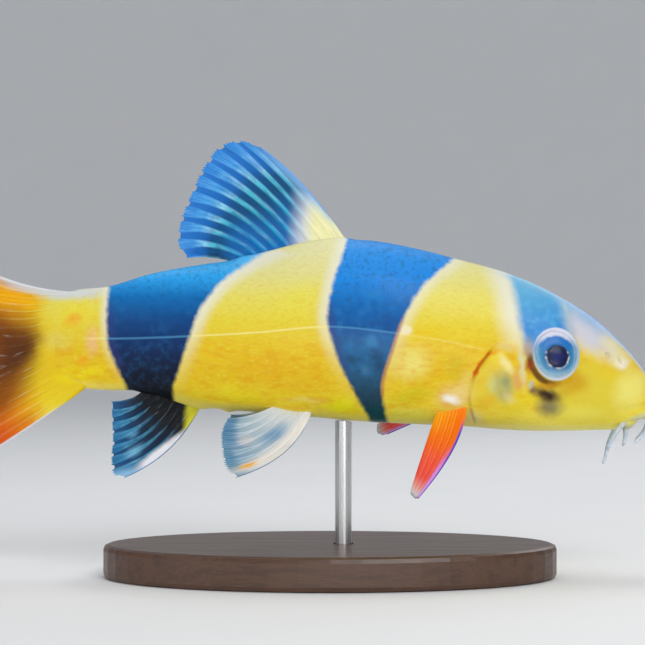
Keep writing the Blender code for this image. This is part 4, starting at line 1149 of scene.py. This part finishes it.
def buildFin(name, kind, plan, material, seed, slot, nodes, mirrored=False):
    fleshThickness, fleshEnd, rayHeight, width, spread = finRays[kind]
    across, along, rays, sheet, normal = finSheet(plan, width, spread, seed)
    rays = rays * ramp(along, 0.0, fleshEnd)
    thickness = finForm["thickness"]
    thin = thickness + (finForm["edgeThickness"] - thickness) * ramp(along, 0, 0.8)
    thin = thin + (fleshThickness - thickness) * ramp(along, fleshEnd, 0.0)
    inward = np.clip(np.minimum(across, 1 - across) * (plan["rays"] - 1) / 0.7, 0, 1)
    edge = 0.12 + 0.88 * np.sqrt(1 - (1 - inward) ** 2)
    joints = bell((along * finForm["segments"]) % 1.0, 0.5, 0.18) * ramp(along, 0.2, 0.4)
    joints = 1 - finForm["segmentDepth"] * joints
    ridge = rayHeight * (1 - finForm["taper"] * along) * rays * joints
    half = ((thin / 2 + ridge) * edge)[..., None]
    sides = [sheet + normal * half, sheet - normal * half]
    points = np.vstack([side.reshape(-1, 3) for side in sides])
    if mirrored:
        points = points * (1, -1, 1)
    rows, columns = across.shape
    count = rows * columns
    faces = gridFaces(rows, columns, flip=mirrored) + gridFaces(rows, columns, first=count, flip=not mirrored)
    rim = list(range(columns - 1)) + [i * columns + columns - 1 for i in range(rows - 1)]
    rim += [(rows - 1) * columns + j for j in range(columns - 1, 0, -1)]
    rim += [i * columns for i in range(rows - 1, 0, -1)]
    for a, b in zip(rim, rim[1:] + rim[:1]):
        face = (b, a, a + count, b + count)
        faces.append(face[::-1] if mirrored else face)
    fin = np.stack([across, along, rays], axis=-1).reshape(-1, 3)
    piece = meshPiece(name, points, faces, material, fin=np.vstack([fin, fin]), place=points)
    return install(piece, slot, *nodes)


# Colours along the rays: membrane, rays, leading edge, how plainly the rays show,
# and wedges and patches over (across, along)
finColours = {
    "dorsal": {
        "membrane": [(0.0, (0, 108, 184)), (0.25, (0, 96, 162)), (0.5, (0, 74, 122)), (0.62, (0, 80, 134)),
                     (0.72, (16, 104, 182)), (0.9, (34, 116, 200)), (1.0, (44, 126, 208))],
        # the pale stop at 0.68 along the rays is a painted highlight where they start to branch
        "ray": [(0.0, (10, 150, 216)), (0.25, (40, 164, 208)), (0.5, (66, 180, 204)), (0.6, (84, 194, 218)),
                (0.68, (146, 216, 242)), (0.78, (86, 172, 230)), (1.0, (60, 148, 222))],
        "edge": (104, 160, 232),
        "rays": 0.95,
        "wedges": [((0.66, 0.62), 0.4, 0.9, (222, 224, 224)), ((0.5, 0.48), 0.35, 0.95, (238, 234, 172))],
        "patches": [
            ((0.0, 0.6), (0.14, 0.6), 0, 0.9, 0.8, (128, 186, 230)),
            ((0.99, 0.45), (0.04, 0.4), 0, 0.9, 0.7, (4, 44, 84)),
            ((0.74, 0.36), (0.26, 0.28), 0, 0.9, 0.6, (0, 106, 182)),
        ],
    },
    "anal": {
        "membrane": [(0.0, (6, 7, 12)), (0.34, (5, 10, 20)), (0.55, (2, 30, 58)), (0.75, (2, 56, 98)),
                     (1.0, (8, 84, 136))],
        "ray": [(0.0, (7, 8, 13)), (0.32, (7, 16, 28)), (0.46, (40, 100, 130)), (0.62, (66, 140, 172)),
                (0.8, (70, 152, 192)), (1.0, (44, 134, 184))],
        "edge": (30, 110, 176),
        "rays": 0.9,
        "wedges": [((0.36, 0.44), 0.35, 0.95, (212, 206, 40))],
        "patches": [
            ((0.0, 0.62), (0.17, 0.36), 0, 0.5, 1.0, (238, 238, 244)),
            ((0.03, 0.98), (0.2, 0.2), 0, 0.8, 0.9, (150, 202, 236)),
            ((0.3, 0.76), (0.1, 0.16), 0, 0.9, 0.7, (120, 190, 224)),
            ((0.52, 0.74), (0.08, 0.14), 0, 0.9, 0.6, (100, 174, 212)),
        ],
    },
    "caudal": {
        "membrane": [(0.0, (230, 206, 44)), (0.2, (228, 192, 16)), (0.42, (220, 150, 6)),
                     (0.7, (208, 100, 4)), (1.0, (196, 78, 6))],
        "ray": [(0.0, (232, 212, 80)), (0.3, (234, 204, 70)), (0.6, (226, 160, 76)), (1.0, (216, 130, 62))],
        "edge": (216, 218, 224),
        "rays": 0.85,
        "wedges": [],
        "patches": [
            ((0.84, 0.66), (0.24, 0.5), 0, 0.7, 0.85, (220, 92, 0)),
            ((0.97, 0.66), (0.12, 0.5), 0, 0.8, 0.8, (214, 66, 0)),
            ((0.12, 0.46), (0.12, 0.36), 0, 0.8, 0.8, (244, 178, 0)),
            ((0.51, 0.72), (0.45, 0.74), 0, 0.6, 0.9, (110, 56, 8)),
            ((0.73, 0.46), (0.2, 0.3), 0, 0.9, 0.7, (138, 74, 4)),
            ((0.47, 0.48), (0.2, 0.36), 0, 0.9, 0.65, (62, 28, 14)),
            ((0.0, 0.30), (0.085, 0.34), 0, 0.7, 0.9, (206, 208, 206)),
        ],
    },
    "pelvic": {
        "membrane": [(0.0, (226, 216, 130)), (0.14, (206, 210, 208)), (0.6, (170, 190, 200)),
                     (1.0, (92, 142, 170))],
        "ray": [(0.0, (226, 216, 150)), (0.2, (222, 222, 220)), (0.6, (208, 214, 218)),
                (1.0, (150, 184, 204))],
        "edge": (40, 108, 156),
        "rays": 0.7,
        "wedges": [],
        "patches": [
            ((0.44, 0.40), (0.22, 0.26), 0, 0.9, 0.75, (90, 144, 184)),
            ((0.78, 0.9), (0.40, 0.2), 0, 0.8, 0.75, (60, 120, 160)),
            ((0.60, 0.68), (0.14, 0.16), 0, 0.9, 0.6, (214, 204, 202)),
            ((0.10, 0.5), (0.22, 0.66), 0, 0.6, 0.95, (236, 230, 220)),
            ((0.15, 0.84), (0.08, 0.14), 0, 0.9, 0.9, (240, 176, 40)),
            ((0.36, 0.94), (0.3, 0.09), 0, 0.9, 0.6, (70, 130, 164)),
        ],
    },
    "pectoral": {
        "membrane": [(0.0, (250, 150, 6)), (0.3, (254, 132, 0)), (0.5, (254, 112, 24)), (0.66, (250, 92, 62)),
                     (0.84, (240, 82, 66)), (0.93, (232, 150, 140)), (1.0, (206, 210, 212))],
        "ray": [(0.0, (250, 154, 10)), (0.3, (255, 138, 6)), (0.5, (255, 118, 34)), (0.66, (252, 102, 74)),
                (0.84, (244, 96, 80)), (0.93, (234, 164, 156)), (1.0, (214, 218, 220))],
        "edge": (60, 76, 200),
        "rays": 0.5,
        "wedges": [],
        "patches": [
            ((0.12, 0.84), (0.22, 0.36), 0, 0.9, 0.95, (222, 150, 226)),
            ((0.96, 0.14), (0.6, 0.34), 0, 0.9, 0.6, (246, 176, 0)),
            ((0.14, 0.26), (0.22, 0.34), 0, 0.9, 0.6, (252, 104, 0)),
        ],
    },
}


def finMaterial(name, looks, opacity):
    paint = Paint(name + "Fin", CoatWeight=0.1, CoatRoughness=0.25, IOR=1.38, SpecularIORLevel=0.2,
                  SubsurfaceWeight=0.2, SubsurfaceRadius=(1.0, 0.7, 0.5), SubsurfaceScale=0.4 * mm)
    fin, place = paint.mark("fin"), paint.mark("place")
    across, along, ray = paint.split(fin)
    flat = paint.add("CombineXYZ", {0: across, 1: 0.0, 2: along}).outputs[0]
    loose = paint.warp(flat, 7.0, 0.06)
    looseAcross, _, looseAlong = paint.split(loose)
    # rays that fade and brighten along their length
    glow = paint.noise(flat, 16.0, 3.0, 0.55, stretch=(1.0, 1.0, 0.4))
    plain = paint.math("MULTIPLY_ADD", paint.step(glow, 0.34, 0.6), 0.5, 0.5)
    shown = paint.times(paint.step(ray, 0.1, 0.95), plain, looks["rays"])
    membrane, rayColour = (paint.ramp(looseAlong, looks[key]) for key in ("membrane", "ray"))
    colour = paint.mix(shown, membrane, rayColour)
    for (reachAcross, reachAlong), soft, strength, tint in looks["wedges"]:
        part = paint.math("DIVIDE", looseAlong, reachAlong)
        total = paint.math("MULTIPLY_ADD", looseAcross, 1 / reachAcross, part)
        colour = paint.wash(colour, strength, tint, paint.step(total, 1.0, 1.0 - soft))
    colour = paint.patches(colour, loose, looks["patches"])
    streaks = paint.noise(flat, 40.0, 4.0, 0.6, stretch=(1.0, 1.0, 0.14))
    dark = paint.times(paint.step(streaks, 0.5, 0.75), paint.math("SUBTRACT", 1.0, ray), 0.3 * looks["rays"])
    colour = paint.mix(dark, colour, rgb(20, 30, 60), "MULTIPLY")
    colour = paint.wash(colour, 0.22 * looks["rays"], (226, 234, 236), paint.step(streaks, 0.5, 0.3), ray)
    if name == "caudal":
        # the fin's base is coloured as the skin that runs out over it
        x, _, z = paint.split(place)
        base = paint.patches(paint.ramp(z, skinColours["flank"]), paint.warp(place, 1.6, 0.35), tailPatches)
        line = paint.math("ADD", x, paint.math("MULTIPLY", paint.noise(place, 0.6, 3.0), 2.0))
        colour = paint.mix(paint.step(line, -43.8, -40.4), colour, base)
    edge = paint.times(paint.step(across, 0.022, 0.006), paint.step(along, 0.12, 0.3))
    if name == "caudal":  # both its outer rays are edges
        last = paint.times(paint.step(across, 0.982, 0.994), paint.step(along, 0.12, 0.3))
        edge = paint.math("MAXIMUM", edge, last)
    if name == "pectoral":
        edge = paint.times(paint.step(across, 0.1, 0.03), paint.step(along, 0.2, 0.4))
    colour = paint.wash(colour, 0.95, looks["edge"], edge)
    segments = paint.math("SINE", paint.math("MULTIPLY", along, 160.0))
    normal = paint.bump(paint.times(segments, ray), 0.12, 0.03)
    normal = paint.bump(paint.noise(place, 3.0, 3.0), 0.12, 0.05, normal)
    solid = paint.math("MAXIMUM", paint.step(ray, 0.1, 0.6), paint.step(along, 0.6, 0.2))
    alpha = paint.math("MULTIPLY_ADD", solid, 1.0 - opacity, opacity)
    return paint.finish(colour, 0.4, normal, alpha)


def buildFins():
    opacities = {"dorsal": 0.96, "anal": 0.97, "caudal": 0.97, "pelvic": 0.86, "pectoral": 0.97}
    looks = {name: finMaterial(name, finColours[name], opacity) for name, opacity in opacities.items()}
    singles = (("dorsal", 3, ["dorsal_fin"]), ("anal", 5, ["anal_fin"]),
               ("caudal", 7, ["caudal_fin_upper", "caudal_fin_lower"]))
    for name, seed, nodes in singles:
        buildFin(name + "Fin", name, fins[name], looks[name], seed, name + "_fin", nodes)
    for word, mirrored in (("Right", False), ("Left", True)):
        buildFin("pelvicFin" + word, "pelvic", fins["pelvic"], looks["pelvic"], 9, "pelvic_fins",
                 ["pelvic_fin_" + word.lower()], mirrored)
        buildFin("pectoralFin" + word, "pectoral", fins["pectoral" + word], looks["pectoral"], 11,
                 "pectoral_fins", ["pectoral_fin_" + word.lower()])


buildFins()
print("fins built")


barbels = {
    "rootRadius": 0.4,
    "tipRadius": 0.2,
    "lines": {
        "corner_right": [(43.9, -2.3, 23.5), (42.6, -3.2, 22.1), (41.2, -3.6, 19.8), (40.4, -3.6, 17.2)],
        "corner_left": [(43.9, 2.3, 23.5), (43.3, 3.2, 22.1), (42.3, 3.6, 19.8), (41.8, 3.6, 17.4)],
        "chin_right": [(44.4, -1.2, 23.0), (44.1, -1.4, 21.2), (43.7, -1.5, 19.7)],
        "chin_left": [(44.4, 1.2, 23.0), (44.5, 1.4, 21.2), (44.3, 1.5, 19.9)],
        "outer_right": [(47.4, -1.3, 25.2), (48.0, -2.3, 24.0), (47.0, -2.9, 22.2), (45.2, -3.1, 20.3)],
        "outer_left": [(47.4, 1.3, 25.2), (48.2, 2.3, 24.0), (47.7, 2.9, 22.0), (46.3, 3.1, 20.2)],
        "inner_right": [(48.5, -0.5, 25.4), (50.1, -0.9, 24.3), (50.5, -1.2, 22.4), (49.7, -1.4, 20.3)],
        "inner_left": [(48.5, 0.5, 25.4), (50.2, 0.9, 24.3), (50.9, 1.2, 22.4), (50.4, 1.4, 20.5)],
    },
    "rows": 90,
    "around": 24,
}


def barbelMaterial():
    paint = Paint("barbelSkin", CoatWeight=0.4, CoatRoughness=0.15, SubsurfaceWeight=0.5,
                  SubsurfaceRadius=(1.0, 0.8, 0.7), SubsurfaceScale=0.5 * mm)
    along, _, _ = paint.split(paint.mark("along"))
    place = paint.mark("place")
    colour = paint.ramp(along, [(0.0, (206, 200, 160)), (0.15, (196, 204, 204)), (0.6, (178, 196, 214)),
                                (1.0, (206, 216, 226))])
    blots = paint.step(paint.noise(place, 1.5, 3.0), 0.52, 0.68)
    colour = paint.wash(colour, 0.4, (122, 134, 142), blots)
    rings = paint.math("SINE", paint.math("MULTIPLY", along, 210.0))
    return paint.finish(colour, 0.38, paint.bump(rings, 0.16, 0.04))


def buildBarbel(name, line, material, seed):
    draw = np.random.default_rng(seed)
    rows, around = barbels["rows"], barbels["around"]
    centre = smoothLine(line, rows)
    share = np.linspace(0, 1, rows)
    radius = barbels["rootRadius"] + (barbels["tipRadius"] - barbels["rootRadius"]) * share
    radius = radius * (1 + 0.03 * np.sin(share * draw.uniform(50, 70)))
    radius = radius * np.sqrt(np.clip(1 - ramp(share, 0.93, 1.02) ** 2, 0.02, 1))
    ahead = np.gradient(centre, axis=0)
    ahead /= np.linalg.norm(ahead, axis=1, keepdims=True)
    across = np.cross(ahead, (0.0, 1.0, 0.2))
    across /= np.linalg.norm(across, axis=1, keepdims=True)
    over = np.cross(ahead, across)
    turns = np.linspace(0, 2 * math.pi, around, endpoint=False)[None, :, None]
    outward = np.cos(turns) * across[:, None] + np.sin(turns) * over[:, None]
    rings = centre[:, None] + radius[:, None, None] * outward
    points = np.vstack([rings.reshape(-1, 3), centre[0], centre[-1] + ahead[-1] * radius[-1] * 0.5])
    faces = gridFaces(rows, around, closed=True)
    count = rows * around
    faces += capFaces(count, 0, around) + capFaces(count + 1, count - around, around, flip=True)
    along = np.zeros((count + 2, 3))
    along[:count, 0] = np.repeat(share, around)
    along[-1, 0] = 1.0
    piece = meshPiece("barbel_" + name, points, faces, material, along=along, place=points)
    return install(piece, "barbels", "barbel_" + name)


def buildBarbels():
    material = barbelMaterial()
    for seed, (name, line) in enumerate(barbels["lines"].items()):
        buildBarbel(name, line, material, seed)


buildBarbels()
print("barbels built")


# The stand keeps its CAD solids
def woodMaterial():
    paint = Paint("stainedWood", CoatWeight=0.25, CoatRoughness=0.2)
    place = paint.add("TexCoord").outputs["Object"]
    stretched = paint.add("Mapping", {0: place, 3: (60.0, 900.0, 900.0)}).outputs[0]
    bent = paint.warp(stretched, 0.5, 1.2)
    rings = paint.add("TexNoise", {0: bent, 2: 1.0, 3: 6.0, 4: 0.65}).outputs[0]
    colour = paint.ramp(rings, [(0.25, (58, 36, 24)), (0.45, (84, 54, 34)), (0.6, (66, 41, 27)),
                                (0.8, (104, 70, 44))])
    pores = paint.noise(stretched, 5.0, 3.0, 0.7)
    colour = paint.wash(colour, 0.6, (34, 21, 14), paint.step(pores, 0.58, 0.72))
    roughness = paint.math("MULTIPLY_ADD", rings, 0.2, 0.3)
    return paint.finish(colour, roughness, paint.bump(pores, 0.25, 0.06))


def steelMaterial():
    paint = Paint("brushedSteel", Metallic=1.0)
    place = paint.add("TexCoord").outputs["Object"]
    stretched = paint.add("Mapping", {0: place, 3: (9000.0, 9000.0, 160.0)}).outputs[0]
    lines = paint.noise(stretched, 1.0, 4.0, 0.7)
    colour = paint.ramp(lines, [(0.3, (176, 177, 178)), (0.7, (206, 206, 205))])
    roughness = paint.math("MULTIPLY_ADD", lines, 0.2, 0.18)
    return paint.finish(colour, roughness, paint.bump(lines, 0.08, 0.02))


for node, material in (("stand_base", woodMaterial()), ("stand_rod", steelMaterial())):
    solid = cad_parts[node]
    solid.data.materials.clear()
    solid.data.materials.append(material)
print("stand finished")


studio = {
    "floorRadius": 620.0,
    "curve": 420.0,
    "wallHeight": 1300.0,
    "floorColours": [(244, 244, 244), (240, 241, 241)],
    "world": 0.46,
    # name, place, aimed at, width and depth, watts
    "lights": [
        ("keyLight", (150, -360, 330), (0, 0, 35), (260, 200), 0.86),
        ("fillLight", (-330, -300, 120), (0, 0, 35), (220, 220), 0.24),
        ("lowLight", (60, -420, 40), (0, 0, 30), (320, 70), 0.32),
        ("topLight", (-40, 80, 420), (0, 0, 30), (300, 200), 0.4),
        ("backLight", (260, 320, 260), (10, 0, 40), (220, 220), 0.35),
    ],
}


def buildStudio():
    # a round dish: the floor runs up into a wall on every side
    turns = np.linspace(0, math.pi / 2, 24)
    radius, curve = studio["floorRadius"], studio["curve"]
    profile = [(radius * share, 0.0) for share in (0.25, 0.5, 0.75)]
    profile += [(radius + curve * math.sin(turn), curve * (1 - math.cos(turn))) for turn in turns]
    profile += [(radius + curve, studio["wallHeight"])]
    spokes = np.linspace(0, 2 * math.pi, 96, endpoint=False)
    points = [(r * math.cos(a), r * math.sin(a), z) for r, z in profile for a in spokes] + [(0.0, 0.0, 0.0)]
    count = len(profile) * len(spokes)
    faces = gridFaces(len(profile), len(spokes), closed=True, flip=True)
    faces += capFaces(count, 0, len(spokes), flip=True)
    paint = Paint("paleDish", Roughness=0.9)
    place = paint.add("TexCoord").outputs["Object"]
    tint = paint.mix(paint.noise(place, 40.0, 4.0), *[rgb(*colour) for colour in studio["floorColours"]])
    dish = meshPiece("studioDish", points, faces, paint.finish(tint))


def buildLights():
    world = bpy.data.worlds.new("studioWorld")
    world.use_nodes = True
    background = world.node_tree.nodes["Background"]
    background.inputs["Color"].default_value = rgb(238, 242, 250)
    background.inputs["Strength"].default_value = studio["world"]
    bpy.context.scene.world = world
    for name, place, target, (width, depth), watts in studio["lights"]:
        lamp = bpy.data.lights.new(name, "AREA")
        lamp.shape = "RECTANGLE"
        lamp.size, lamp.size_y, lamp.energy = width * mm, depth * mm, watts
        light = bpy.data.objects.new(name, lamp)
        light.location = Vector(place) * mm
        aim = Vector(target) - Vector(place)
        light.rotation_euler = aim.to_track_quat("-Z", "Y").to_euler()
        bpy.context.scene.collection.objects.link(light)


def buildCamera():
    lens = bpy.data.cameras.new("photoCamera")
    lens.lens, lens.sensor_width, lens.clip_start = view["lens"], view["sensor"], 0.01
    camera = bpy.data.objects.new("photoCamera", lens)
    camera.location = eyeOfCamera * mm
    camera.rotation_euler = (math.pi / 2, 0, 0)
    bpy.context.scene.collection.objects.link(camera)
    bpy.context.scene.camera = camera


buildStudio()
buildLights()
buildCamera()
bpy.context.scene.view_settings.view_transform = "Standard"
print("studio built")
